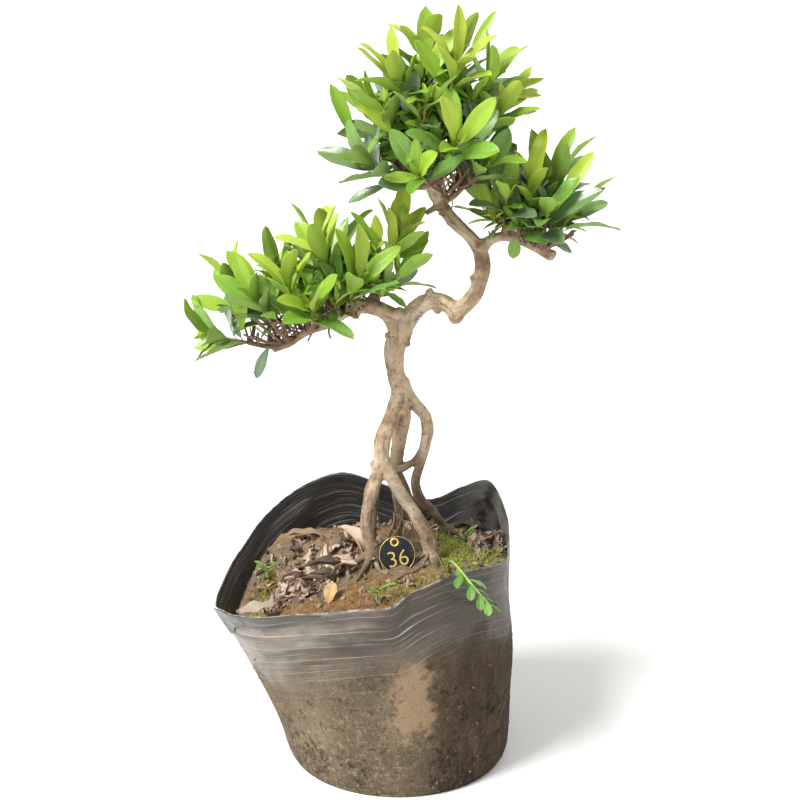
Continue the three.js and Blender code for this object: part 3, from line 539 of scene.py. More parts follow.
def twigPath(shoot):
    # the twig that carries a shoot, from the nearest limb below it
    end, starts = shoot["base"], []
    for name in shoot["pad"]["from"] + shoot["pad"]["tips"]:
        for i in range(13):
            start = curvePoint(limbs[name], 0.15 + 0.8 * i / 12)
            starts.append((norm(start - end) + 1.5 * max(0, start[2] - end[2] + 6), start))
    start = min(starts, key=lambda row: row[0])[1]
    bend = end - shoot["way"] * 0.5 * norm(end - start)
    return [[*(start * (1 - t) ** 2 + 2 * bend * t * (1 - t) + end * t ** 2),
             mix(woodLook["twigRadius"], shootSize["radius"] + 0.1, t)] for t in np.linspace(0, 1, 9)]


def sampled(path, spacing=2.2):
    # a limb's line as close points with radii
    steps = max(6, int(sum(norm(np.subtract(a[:3], b[:3])) for a, b in zip(path, path[1:])) / spacing))
    line = []
    for t in (i / steps for i in range(steps + 1)):
        place = t * (len(path) - 1)
        k = min(int(place), len(path) - 2)
        line.append([*curvePoint(path, t), mix(path[k][3], path[k + 1][3], place - k)])
    return line


def tubesOf(lines, name, sides=3):
    # one mesh of round tubes along lists of x, y, z and radius in mm
    curve = bpy.data.curves.new(name, "CURVE")
    curve.dimensions = "3D"
    curve.bevel_depth = 1.0
    curve.bevel_resolution = sides
    curve.use_fill_caps = True
    for line in lines:
        spline = curve.splines.new("POLY")
        spline.points.add(len(line) - 1)
        for point, (x, y, z, radius) in zip(spline.points, line):
            point.co = (x * mm, y * mm, z * mm, 1)
            point.radius = radius * mm
    activate(linked(name, curve))
    bpy.ops.object.convert(target="MESH")
    return added(name)


def meshEdges(piece):
    flat = np.empty(len(piece.data.edges) * 2, np.int32)
    piece.data.edges.foreach_get("vertices", flat)
    return flat.reshape(-1, 2)


def smoothed(values, edges, rounds, share=0.5):
    # each value moved towards the mean of its neighbours'
    count = len(values)
    a, b = edges[:, 0], edges[:, 1]
    number = np.maximum(np.bincount(a, minlength=count) + np.bincount(b, minlength=count), 1)
    columns = values.reshape(count, -1).copy()
    for _ in range(rounds):
        for c in range(columns.shape[1]):
            total = (np.bincount(a, weights=columns[b, c], minlength=count)
                     + np.bincount(b, weights=columns[a, c], minlength=count))
            columns[:, c] += share * (total / number - columns[:, c])
    return columns.reshape(values.shape)


def limbField(lines):
    # for every point of the skin: which way the limb runs there, how far along it, how thick it is
    tree = KDTree(sum(len(line) for line in lines))
    facts = []
    for number, line in enumerate(lines):
        at = np.array(line, float)
        ways = np.gradient(at[:, :3], axis=0)
        ways /= norm(ways, axis=1)[:, None]
        side = unit(np.cross(ways[0], [0.31, 0.9, 0.3]))
        gone = 0.0
        for i, way in enumerate(ways):
            side = squared(side, way)
            gone += norm(at[i, :3] - at[i - 1, :3]) if i else 0
            tree.insert(Vector(at[i, :3] * mm), len(facts))
            facts.append((at[i, :3], way, side, gone, at[i, 3], number))
    tree.balance()
    return tree, facts


def makeWood():
    look = woodLook
    lines = [sampled(path) for path in limbs.values()]
    lines += [sampled(twigPath(shoot), 1.5) for shoot in shoots if not shoot["onTip"]]
    parts = [tubesOf(lines, "wood", 5)]
    for i, (x, y, z, radius, _) in enumerate(look["burrs"]):
        bpy.ops.mesh.primitive_ico_sphere_add(subdivisions=3, radius=radius * mm, location=(x * mm, y * mm, z * mm))
        burr = added("burr")
        bpy.ops.object.transform_apply(location=True, rotation=False, scale=False)
        place = pointsOf(burr)
        parts.append(movePoints(burr, place + normalsOf(burr) * (wavy(place, 4, i)[:, None] * 0.22 * radius * mm)))
    wood = joined(parts, "grownWood")
    modified(wood, "REMESH", mode="VOXEL", voxel_size=look["voxel"] * mm)
    edges = meshEdges(wood)
    place = smoothed(pointsOf(wood), edges, look["polish"])
    tree, facts = limbField(lines)
    # how the bark's ridges, fine grain and rings run, and how thick the limb is, at each point
    fields = np.zeros((4, len(place)))
    for v, p in enumerate(place):
        centre, way, side, gone, radius, number = facts[tree.find(Vector(p))[1]]
        out = p / mm - centre
        along = np.dot(out, way)
        out = out - way * along
        angle = atan2(np.dot(out, np.cross(way, side)), np.dot(out, side)) + 0.02 * gone
        girth = 0.8 * radius ** 0.7
        x, y = cos(angle) * girth, sin(angle) * girth
        s = (gone + along) + 40 * number
        fields[:, v] = (noise.noise(Vector((x, y, s / 26))), noise.noise(Vector((x * 2.6, y * 2.6, s / 9 + 7))),
                        noise.noise(Vector((x * 0.5, y * 0.5, s / 2.1 + 31))), radius)
    ridge, fine, rings, radii = (smoothed(row, edges, rounds) for row, rounds in zip(fields, (4, 1, 1, 40)))
    ringMask = ramp(0.1, 0.5, wavy(place, 22, 11)) * np.clip(rings - 0.15, 0, 1)
    dent, scar = np.zeros(len(place)), np.zeros(len(place))
    for x, y, z, radius, sunk in look["burrs"]:
        far = norm(place / mm - vec(x, y - 0.6 * radius, z), axis=1) / radius
        dent -= sunk * np.exp(-(far * 1.5) ** 2)
        scar = np.maximum(scar, ramp(1.3, 0.3, far) * (0.55 + 0.45 * (sunk > 0)))
    # stains on the bark, with painted shade in the crotches where the limbs fork
    for x, y, z, radius in look["stainsAndForkShade"]:
        far = norm((place / mm - vec(x, y, z)) * [1, 1, 1.3], axis=1) / radius
        scar = np.maximum(scar, 0.95 * ramp(1.5, 0.5, far))
    size = np.clip(radii / 6, 0.2, 1.15)
    rise = (look["ridge"] * (ridge - 0.25 * np.abs(ridge)) * size * 1.6
            + look["grain"] * fine * np.sqrt(size) * 2 + look["lump"] * wavy(place, 15, 3) * size
            + look["ring"] * ringMask * 2.2 * size + dent
            + look["knots"] * wavy(place, 5.5, 17) * ramp(0.20, 0.155, place[:, 2]) * size)
    movePoints(wood, place)
    movePoints(wood, place + normalsOf(wood) * rise[:, None] * mm)
    print("wood:", len(wood.data.polygons), "faces")
    return paint(wood, ridge=np.clip(0.5 + 0.9 * ridge + 0.5 * fine, 0, 1), girth=radii,
                 ring=np.clip(ringMask * 3, 0, 1), scar=scar)


def barkMaterial():
    w = newMaterial("bark", Roughness=0.82, Specular_IOR_Level=0.3)
    patches = w.mottled(38, 330, 2.2)
    dark = w.speckled(410, 0.14)
    cracks = w.grain(150, 5, 0.7, stretch=(1, 1, 3.4)).rises(0.58, 0.66) * w.grain(45, 2).rises(0.48, 0.6)
    old = w.blend(patches, (0.29, 0.19, 0.11), (0.70, 0.56, 0.39))
    old = w.blend(w.attribute("ridge").rises(0, 0.5, 0.35, 1), (0.19, 0.12, 0.07), old)
    old = w.coats(old, (w.grain(64, 5, 0.66).rises(0.52, 0.66) * 0.68, (0.19, 0.112, 0.06)),
                  (w.grain(27).rises(0.55, 0.72) * 0.4, (0.46, 0.43, 0.38)),
                  (w.speckled(620, 0.22) * 0.55, (0.66, 0.58, 0.47)),
                  (cracks * 0.45, (0.16, 0.10, 0.06)), (dark * 0.7, (0.12, 0.075, 0.045)),
                  (w.attribute("ring") * 0.8, (0.17, 0.10, 0.055)),
                  # the burrs' scars and the stains, with painted shade in the forks' crotches
                  (w.attribute("scar") * patches.falls(0.3, 0.62, 0.3) * 0.75, (0.165, 0.095, 0.052)))
    twigs = w.blend(patches, (0.125, 0.07, 0.042), (0.30, 0.19, 0.12))
    _, deep, height = w.parts(w.place)
    # the legs are browner, the rear stems are painted darker as shade and the feet damp
    colour = w.coats(w.blend(w.attribute("girth").rises(1.6, 3.6), twigs, old),
                     (height.falls(0.16, 0.245) * patches.falls(0.25, 0.7, 0.3) * 0.66, (0.145, 0.10, 0.062)),
                     # painted shade darkens the stems at the back, below the fork
                     (deep.rises(0.004, 0.016) * height.falls(0.25, 0.275) * 0.55, (0.125, 0.088, 0.052)),
                     (height.falls(0.142, 0.17) * w.grain(110, 4).rises(0.4, 0.6) * 0.6, (0.10, 0.095, 0.040)))
    relief = w.grain(1500, 4, 0.7) * 0.5 + w.grain(1300, stretch=(1, 1, 0.16)) * 0.7 + (dark + cracks) * -0.5
    return w.finished(colour, relief, 0.0012, 0.95)


bark = barkMaterial()
dress(makeWood(), "wood", bark, "wood")


# shoots: a stem and thin curved leaves, each where its solid stands

leafLook = {
    "across": 6, "along": 12,  # faces of a blade
    "length": 38, "lengthSpread": 0.36, "width": 14, "widthSpread": 0.3,
    "lowest": 2.4, "highest": 1.6,  # mm from the ends of the stem
    "opens": (54, 14), "openSpread": 14, "turnSpread": 0.5, "lift": 0.22, "cup": 0.6, "roll": 0.9,
    "bend": 22, "bendSpread": 40, "fold": 20, "foldSpread": 16,
    "tries": 24,
    "thickness": 0.55, "edge": 0.3,  # mm in the middle and at the margin
    "petiole": 0.6,  # half width of the stalk, mm
    "wave": 0.5,
    "young": (2, 3),  # how many small leaves stand at a tip
}


def posed(root, ahead, face, length, width, bend, fold):
    # how a leaf sits: bend and fold in radians
    return {"root": root, "ahead": ahead, "face": face, "side": np.cross(face, ahead),
            "length": length, "width": width, "bend": bend, "fold": fold}


def leafPose(shoot, i, attempt):
    # how leaf i would sit at one of its tries, as the part works it out
    look, size, way = leafLook, shootSize, shoot["way"]
    pick = lambda channel: draw(shoot["seed"], i, attempt, channel) - 0.5
    along = i / (shoot["leaves"] - 1)
    spoke = 2 * pi * ((2 * i) % size["sides"]) / size["sides"]
    height = mix(look["lowest"], shoot["length"] - look["highest"], along)
    radius = mix(size["radius"], size["tipRadius"], height / shoot["length"])
    root = shoot["base"] + way * (size["gap"] + height) + turned(shoot["forward"], way, spoke) * radius
    radial = turned(shoot["forward"], way, spoke + pick(1) * min(1.5, look["turnSpread"] + 0.2 * attempt))
    opening = radians(mix(*look["opens"], along) + pick(2) * (look["openSpread"] + 5 * attempt))
    ahead = unit(way * cos(opening) + radial * sin(opening) + up * look["lift"])
    face = turned(squared(way - radial * look["cup"], ahead), ahead, pick(3) * look["roll"])
    shrink = 1 - 0.025 * attempt
    return posed(root, ahead, face, look["length"] * (1 + look["lengthSpread"] * pick(4)) * shrink,
                 look["width"] * (1 + look["widthSpread"] * pick(5)) * shrink,
                 radians(look["bend"] + look["bendSpread"] * pick(6)),
                 radians(look["fold"] + look["foldSpread"] * pick(7)))


def midrib(pose, share):
    arc = pose["bend"] * np.asarray(share, float)[..., None]
    reach = pose["length"] / pose["bend"]
    at = pose["root"] + pose["ahead"] * reach * np.sin(arc) - pose["face"] * reach * (1 - np.cos(arc))
    return at, pose["face"] * np.cos(arc) + pose["ahead"] * np.sin(arc)


def leafOutline(share):
    return np.sin(pi * np.clip(share, 0, 1) ** 1.22) ** 0.6 * ramp(0.0, 0.16, share)


def makeLeafTemplate(name, across, along):
    # a blade laid flat: x from -1 to 1 across, y from 0 to 1 along, z -1 below and 1 above
    leaf = grid(name, across, along)
    place = pointsOf(leaf)
    share = (place[:, 1] + 1) / 2
    place[:, 1] = 0.6 * share + 0.4 * (0.5 - 0.5 * np.cos(pi * share))
    movePoints(leaf, place)
    modified(leaf, "SOLIDIFY", thickness=2, offset=0)
    place = pointsOf(leaf)
    return movePoints(leaf, np.stack([np.clip(place[:, 0], -1, 1), np.clip(place[:, 1], 0, 1),
                                      np.sign(place[:, 2])], 1))


def bladePoints(template, pose, seed, outline=leafOutline, wave=leafLook["wave"], petiole=leafLook["petiole"]):
    u, s, layer = pointsOf(template).T
    at, normal = midrib(pose, s)
    half = np.maximum(pose["width"] * 0.465 * outline(s), petiole * (1 - 0.75 * ramp(0.6, 1, s)))
    a = np.abs(u)
    high = half * sin(pose["fold"]) * a ** 1.3 - 0.07 * half * a ** 4
    swing = wave * np.sin(2 * pi * (s * 2.3 + draw(seed, 5)) + u)
    high = high + swing * a ** 2 * ramp(0.05, 0.4, half / (pose["width"] / 2 + 1e-9))
    thick = mix(leafLook["edge"], leafLook["thickness"], 1 - a ** 2) / 2 * layer
    groove = -0.18 * np.exp(-(u / 0.1) ** 2) * (layer > 0)
    points = at + pose["side"] * (half * u * cos(pose["fold"]))[:, None]
    return (points + normal * (high + thick + groove)[:, None]) * mm


leafTemplate = makeLeafTemplate("leafTemplate", leafLook["across"], leafLook["along"])


def leafObject(pose, seed, age, **more):
    under = (pointsOf(leafTemplate)[:, 2] < 0).astype(float)
    return copied(leafTemplate, "leaf", bladePoints(leafTemplate, pose, seed, **more), age=age, tint=draw(seed, 3),
                  under=under, stem=0)


def shootAge(shoot, along):
    # 0 for an old dark leaf, 1 for a young lime one
    start, rise = shoot["pad"]["age"]
    start += rise * (shoot["base"][2] - shoot["pad"]["centre"][2])
    return float(np.clip(start + 0.62 * (along - 0.35) + 0.5 * (draw(shoot["seed"], 77) - 0.5), 0.02, 1))


def stemObject(shoot):
    base, way, length = shoot["base"], shoot["way"], shoot["length"]
    line = []
    for t in (i / 9 for i in range(10)):
        swell = 0.16 * max(0, sin(t * 8 * pi)) ** 3
        line.append([*(base + way * (shootSize["gap"] * 0.2 + t * (length + 0.2))),
                     mix(shootSize["radius"] + 0.05, shootSize["tipRadius"] - 0.1, t) + swell])
    stem = tubesOf([line + [[*(base + way * (length + 2.2)), 0.25]]], "stem", 2)
    along = ((pointsOf(stem) / mm - base) @ way) / length
    paint(stem, age=np.clip(along, 0, 1), tint=draw(shoot["seed"], 3), under=0, stem=1)
    if not stem.data.uv_layers:
        stem.data.uv_layers.new(name="UVMap")
    return stem


def makeShoot(shoot):
    # the leaves that its solid has, then folded young leaves round the bud
    way, solid = shoot["way"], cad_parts[shoot["node"]]
    tree = KDTree(len(solid.data.vertices))
    for k, vertex in enumerate(solid.data.vertices):
        tree.insert(vertex.co, k)
    tree.balance()
    pieces = [stemObject(shoot)]
    for i in range(shoot["leaves"]):
        for attempt in range(leafLook["tries"]):
            pose = leafPose(shoot, i, attempt)
            if tree.find(Vector(midrib(pose, 1.0)[0] * mm))[2] < 0.2 * mm:
                pieces.append(leafObject(pose, shoot["seed"] * 40 + i, shootAge(shoot, i / (shoot["leaves"] - 1))))
                break
    kept = len(pieces) - 1
    for i in range(leafLook["young"][draw(shoot["seed"], 31) >= 0.5]):
        seed = shoot["seed"] * 40 + 20 + i
        radial = turned(shoot["forward"], way, 2.4 * i + 1)
        opening = radians(7 + 9 * draw(seed, 1) + 5 * i)
        ahead = unit(way * cos(opening) + radial * sin(opening))
        pose = posed(shoot["base"] + way * (shoot["length"] - 0.5 - i) + radial * 0.5, ahead,
                     squared(way - radial, ahead), 11 + 9 * draw(seed, 2) - 2 * i, 3.6 + 2.4 * draw(seed, 6),
                     radians(18), radians(38))
        pieces.append(leafObject(pose, seed, 0.95, petiole=0.4, wave=0.15))
    return joined(pieces, shoot["node"].replace("shoot_", "shoot") + "Leaves"), kept


def singlePose(start, end, tilt, ratio):
    # a leaf on its own, between two points
    start, way = vec(*start), vec(*end) - vec(*start)
    ahead = unit(way)
    return posed(start, ahead, squared(vec(0.15 * tilt, -0.75, 0.65 + 0.2 * tilt), ahead), norm(way),
                 norm(way) * ratio, radians(22), radians(16))


def fillShoot(pad, look, seed):
    # a small shoot inside a pad, on a thin twig of its own
    turn, high = 2 * pi * draw(seed, 1), mix(-0.75, 0.9, draw(seed, 2))
    flat = sqrt(1 - high * high)
    out = vec(flat * cos(turn), flat * sin(turn), high)
    way = unit(out * 0.6 + up * 0.9 + 0.3 * vec(draw(seed, 4) - 0.5, draw(seed, 5) - 0.5, 0))
    return {"pad": pad, "base": padPoint(pad, out, mix(*look["reach"], draw(seed, 3)), look["drop"]), "way": way}


def makeFill(pad, look):
    template = makeLeafTemplate("smallLeaf", 4, 6)
    under = (pointsOf(template)[:, 2] < 0).astype(float)
    copies, ages, tints, twigs = [], [], [], []
    for seed in range(look["seed"], look["seed"] + look["number"]):
        shoot = fillShoot(pad, look, seed)
        base, way, length = shoot["base"], shoot["way"], mix(7, 15, draw(seed, 6))
        twigs.append([[x, y, z, 0.45 * r + 0.1] for x, y, z, r in twigPath(shoot)])
        twigs.append([[*(base + way * length * t), 0.75 - 0.25 * t] for t in (0, 0.35, 0.7, 1)])
        side = unit(np.cross(way, [0.3, 1, 0.2]))
        inner = 0.22 + 0.3 * draw(seed, 8) + 0.004 * (base[2] - pad["centre"][2])
        leaves = int(mix(4, 7.9, draw(seed, 7)))
        for j in range(leaves):
            t = j / (leaves - 1)
            radial = turned(side, way, j * goldenAngle + 6 * draw(seed, 9))
            opening = radians(mix(62, 20, t) + 16 * (draw(seed, j, 10) - 0.5))
            ahead = unit(way * cos(opening) + radial * sin(opening) + up * 0.2)
            long = mix(*look["leaf"], draw(seed, j, 11)) * (1 - 0.25 * t)
            pose = posed(base + way * length * (0.15 + 0.85 * t), ahead, squared(way - radial * 0.6, ahead), long,
                         long * mix(0.27, 0.38, draw(seed, j, 12)), radians(15 + 35 * draw(seed, j, 13)),
                         radians(12 + 24 * draw(seed, j, 14)))
            copies.append(bladePoints(template, pose, seed * 9 + j, wave=0.35, petiole=0.45))
            ages.append(np.clip(inner + 0.55 * t * draw(seed, 15), 0.02, 1))
            tints.append(draw(seed, j, 16))
    for k, (start, end, age, tilt, ratio) in enumerate(look["singles"]):
        copies.append(bladePoints(template, singlePose(start, end, tilt, ratio), look["seed"] + 300 + k,
                                  wave=0.4, petiole=0.5))
        ages.append(age)
        tints.append(draw(look["seed"], k, 17))
    made = repeated(template, pad["name"] + "SmallLeaves", copies, age=ages, tint=tints, stem=[0] * len(copies))
    paint(made, under=np.tile(under, len(copies)))
    return made, paint(tubesOf(twigs, pad["name"] + "Twigs", 1), ridge=0.6, girth=1, ring=0, scar=0)


spurLook = {
    # limb, how many, and between which shares of its length
    "limbs": [["crownBranch", 16, 0.45, 1], ["crownLow", 8, 0, 0.9], ["crownLeft", 8, 0, 0.9],
              ["crownRight", 8, 0, 0.9], ["crownFront", 8, 0, 0.9], ["crownUnder", 6, 0.1, 1],
              ["crownMiddle", 6, 0, 0.6], ["lobeBranch", 16, 0.15, 1], ["lobeInner", 4, 0, 1],
              ["lobeOuter", 4, 0, 1], ["leftBranch", 30, 0.3, 1], ["leftUpright", 8, 0, 1],
              ["leftReturn", 7, 0, 1], ["leftOuter", 6, 0, 1], ["leftTip", 7, 0, 1], ["leftRear", 5, 0, 1],
              ["leftOuterRear", 5, 0, 1], ["leftStub", 3, 0.2, 1]],
    "length": (5, 17), "radius": (0.5, 0.95),
    # forked twigs that spread from a point: x, y, z, how many, and how far they lean to the right
    "fans": [[20, -5, 409, 26, 0], [4, -12, 412, 10, -0.4], [38, -9, 408, 16, 0.5], [30, -4, 402, 12, 0.3],
             [-62, -6, 310, 12, -0.5], [-40, -8, 322, 12, 0], [-80, -3, 301, 9, -0.4], [78, -7, 374, 12, 0],
             [95, -5, 366, 9, 0.4]],
    "fanLength": (14, 34),
}

# small leaves and twigs that the solids leave out; each single leaf is start, end, age, tilt and width over length
fillLook = {
    "crown": {"number": 74, "seed": 3000, "reach": (0.25, 1.0), "drop": -5, "leaf": (17, 31), "singles": [
        [(16, -6, 486), (17, -6, 524), 0.62, 0.5, 0.36], [(18, -10, 478), (35, -10, 512), 0.85, 0, 0.33],
        [(45, 8, 492), (61, 8, 521), 0.72, 1, 0.2], [(39, -24, 439), (24, -26, 477), 0.82, 0.2, 0.36],
        [(-5, -22, 444), (-24, -24, 471), 0.9, 0.2, 0.42], [(-31, -4, 440), (-43, -6, 475), 0.6, 0.4, 0.3],
        [(64, -4, 466), (92, -4, 470), 0.92, 1, 0.28], [(66, 2, 455), (84, 2, 486), 0.95, 0.4, 0.24],
        [(-8, -14, 410), (-36, -14, 401), 0.2, 1, 0.3], [(0, -22, 407), (20, -24, 425), 0.1, 0.6, 0.38],
        [(52, -16, 437), (44, -20, 468), 0.12, 0.2, 0.4], [(2, -16, 455), (10, -20, 484), 0.08, 0.6, 0.42]]},
    "lobe": {"number": 36, "seed": 3400, "reach": (0.2, 1.0), "drop": -2, "leaf": (16, 29), "singles": [
        [(105, -6, 398), (125, -6, 432), 0.93, 0.4, 0.3], [(89, 2, 408), (88, 2, 443), 0.7, 0.4, 0.26],
        [(98, 4, 412), (114, 4, 446), 0.82, 0.6, 0.28], [(104, 6, 383), (135, 6, 408), 0.15, 1, 0.22],
        [(62, -14, 386), (46, -14, 427), 0.85, 0.1, 0.2], [(96, -6, 374), (116, -6, 365), 0.1, 1, 0.36],
        [(76, -8, 376), (75, -9, 359), 0.45, 0, 0.6]]},
    "left": {"number": 66, "seed": 3800, "reach": (0.2, 1.02), "drop": -6, "leaf": (16, 30), "singles": [
        [(-104, -6, 301), (-140, -7, 302), 0.66, 0.6, 0.33], [(-88, -10, 300), (-99, -11, 277), 0.05, 0, 0.34],
        [(-108, -4, 322), (-140, -4, 335), 0.7, 0.8, 0.4], [(-105, -18, 313), (-107, -19, 349), 0.68, 0.3, 0.34],
        [(-94, -10, 338), (-113, -10, 367), 0.75, 0.4, 0.42], [(-6, 6, 364), (2, 6, 394), 0.5, 0.5, 0.4],
        [(-6, 4, 356), (18, 4, 372), 0.6, 1, 0.4], [(-10, -12, 338), (6, -12, 329), 0.3, 1, 0.34],
        [(-60, -20, 333), (-84, -24, 352), 0.55, 0.5, 0.36], [(-36, -20, 338), (-22, -24, 361), 0.78, 0.2, 0.46]]},
}


def makeSpurs():
    # short bare twigs and buds along the thinner limbs, then forked twigs that spread from a point
    look, lines = spurLook, []
    for k, (name, number, low, high) in enumerate(look["limbs"]):
        for seed in range(6000 + 50 * k, 6000 + 50 * k + number):
            t = mix(low, high, draw(seed, 1))
            start, way = curvePoint(limbs[name], t), curveTangent(limbs[name], t)
            out = unit(vec(draw(seed, 2) - 0.5, draw(seed, 3) - 0.75, draw(seed, 4) - 0.2) + 0.4 * way)
            out = unit(out - 0.6 * way * np.dot(out, way))
            length = mix(*look["length"], draw(seed, 5) ** 1.5)
            thick = mix(*look["radius"], draw(seed, 6))
            kink = unit(np.cross(out, way)) * length * 0.16 * (draw(seed, 7) - 0.5)
            lines.append([[*(start + out * length * s + kink * sin(2.5 * pi * s) + up * 2.5 * s * s),
                           thick * (1 - 0.35 * s) * (1.35 if j == 5 else 1)]
                          for j, s in enumerate(np.linspace(0, 1, 7))])
    for k, (x, y, z, number, lean) in enumerate(look["fans"]):
        for i in range(number):
            seed = 8000 + 60 * k + i
            turn, rise = 2 * pi * draw(seed, 1), mix(0.15, 1.1, draw(seed, 2))
            out = unit(vec(cos(turn) + lean, sin(turn) - 0.5, rise))
            length, thick = mix(*look["fanLength"], draw(seed, 3)), mix(0.6, 1.5, draw(seed, 4) ** 1.5)
            level = unit(np.cross(out, up))
            bow = level * length * 0.18 * (draw(seed, 5) - 0.5)
            path = [vec(x, y, z) + out * length * s + bow * sin(3 * s) + up * 7 * s * s
                    for s in np.linspace(0, 1, 8)]
            lines.append([[*at, thick * (1 - 0.5 * j / 7)] for j, at in enumerate(path)])
            for j in (3, 5):
                side = level * (1 if (i + j) % 4 < 2 else -1)
                fork = unit(out + side * mix(0.5, 1.0, draw(seed, j, 6)) + up * 0.5)
                reach = length * mix(0.2, 0.42, draw(seed, j, 7))
                lines.append([[*(path[j] + fork * reach * s), thick * 0.62 * (1 - 0.4 * s)] for s in (0, 0.5, 1)])
    return paint(tubesOf(lines, "spurs", 1), ridge=0.6, girth=1.5, ring=0.4, scar=0)


def leafMaterial():
    w = newMaterial("leaf", Specular_IOR_Level=0.4, Coat_Roughness=0.3)
    off, share = w.ribAndShare()
    age, tint, under, stem = (w.attribute(name) for name in ("age", "tint", "under", "stem"))
    patches = w.mottled(70, 420, 1.2)
    colour = w.shades(age, (0.0, (0.100, 0.155, 0.112)), (1.0, (0.50, 0.64, 0.040)), (0.26, (0.115, 0.215, 0.066)),
                      (0.5, (0.172, 0.375, 0.022)), (0.76, (0.335, 0.52, 0.024)))
    colour = w.blend(patches * 0.4, colour, (0.62, 0.66, 0.5), "MULTIPLY")
    # a net of fine veins, brown flecks on old leaves, a ruddy margin on young ones, then the rib and its veins
    cells = w.value("TexVoronoi", "Distance", Vector=w.place, Scale=850.0,
                    settings={"feature": "DISTANCE_TO_EDGE"})
    net = cells.falls(0, 0.11)
    rib = w.math("LESS_THAN", off, 0.034 - share * 0.022)
    slant = share * 9 - off * 4.6 + w.grain(160, 2) * 0.5
    vein = w.math("PINGPONG", slant, 0.5).falls(0, 0.055)
    colour = w.coats(colour, (tint * 0.22, (0.12, 0.32, 0.05)), (net * 0.16, (0.50, 0.60, 0.18)),
                     (w.speckled(560, 0.12) * age.falls(0.1, 0.7, 0.25) * 0.55, (0.20, 0.14, 0.06)),
                     (off.rises(0.40, 0.5) * age.rises(0.7, 0.95) * 0.45, (0.50, 0.30, 0.06)),
                     (w.largest(rib * 0.42, vein * 0.14), (0.48, 0.58, 0.10)),
                     (under * 0.45, (0.31, 0.44, 0.07)),
                     (stem, w.blend(age, (0.20, 0.105, 0.06), (0.27, 0.30, 0.06))))
    rough = age.rises(0, 1, 0.2, 0.42) + (patches - 0.5) * 0.18
    relief = rib * -0.6 + vein * -0.35 + w.grain(420, 4) * 0.9 + net * -0.25
    return w.finished(colour, relief, 0.0005, 0.8, Roughness=w.largest(rough, w.largest(under, stem) * 0.6),
                      Coat_Weight=age.falls(0.1, 0.6, 0.15) * (1 - under))


leafFinish = leafMaterial()
kept = 0
for shoot in shoots:
    piece, number = makeShoot(shoot)
    kept += number
    dress(piece, "leaf", leafFinish, shoot["node"])
print("shoots:", len(shoots), "with", kept, "leaves as in the solids")
for pad in pads:
    smallLeaves, twigs = makeFill(pad, fillLook[pad["name"]])
    dress(smallLeaves, "leaf", leafFinish)
    dress(twigs, "wood", bark)
dress(makeSpurs(), "wood", bark)
remove(leafTemplate)
print("small leaves and twigs made")


# bag: one film lofted from the flat base up to its wandering mouth

bagLook = {
    "around": 216, "rows": 96, "bottomRows": 8,
    "film": 0.6,  # mm, over the real 0.3 so that it stays a solid
    "baseCentre": -1.5, "baseRadii": [79, 82], "flare": 1.45, "swell": 2.5,
    "cornerHeight": 9, "cornerInset": 2.5, "rimCentre": -26,
    "rim": [[76, 0, 152], [77, 28, 164], [66, 58, 180], [46, 83, 167], [22, 92, 154], [-14, 96, 165],
            [-44, 92, 175], [-74, 82, 167], [-100, 64, 150], [-121, 34, 127], [-130, -4, 111],
            [-120, -34, 118], [-97, -68, 129], [-62, -90, 141], [-30, -98, 147], [-8, -98, 149],
            [10, -95, 159], [36, -84, 166], [60, -60, 162], [73, -30, 154]],
    "line": 5.2,  # mm between the stretch lines under the mouth
    "lineDepth": 0.16,
    "floppy": 1.1,  # mm of soft waves near the mouth
    "dents": 2.4,
    "creases": 1.7,
    "clear": 0.4,  # mm kept free between the film and what lies on the soil
}


def filmPoint(turnShare, heightShare):
    look = bagLook
    rim = curvePoint(look["rim"], turnShare % 1.0, True)
    turn = atan2(rim[1], rim[0] - look["rimCentre"])
    outward = vec(cos(turn), sin(turn), 0)
    foot = vec(look["baseCentre"] + outward[0] * look["baseRadii"][0], outward[1] * look["baseRadii"][1], 0)
    height = heightShare * rim[2]
    corner = max(0, 1 - height / look["cornerHeight"])
    swell = look["swell"] * sin(pi * heightShare) - look["cornerInset"] * corner ** 2
    at = foot + (rim - foot) * heightShare ** look["flare"]
    at[2] = height
    return at + outward * swell, outward, rim[2] - height


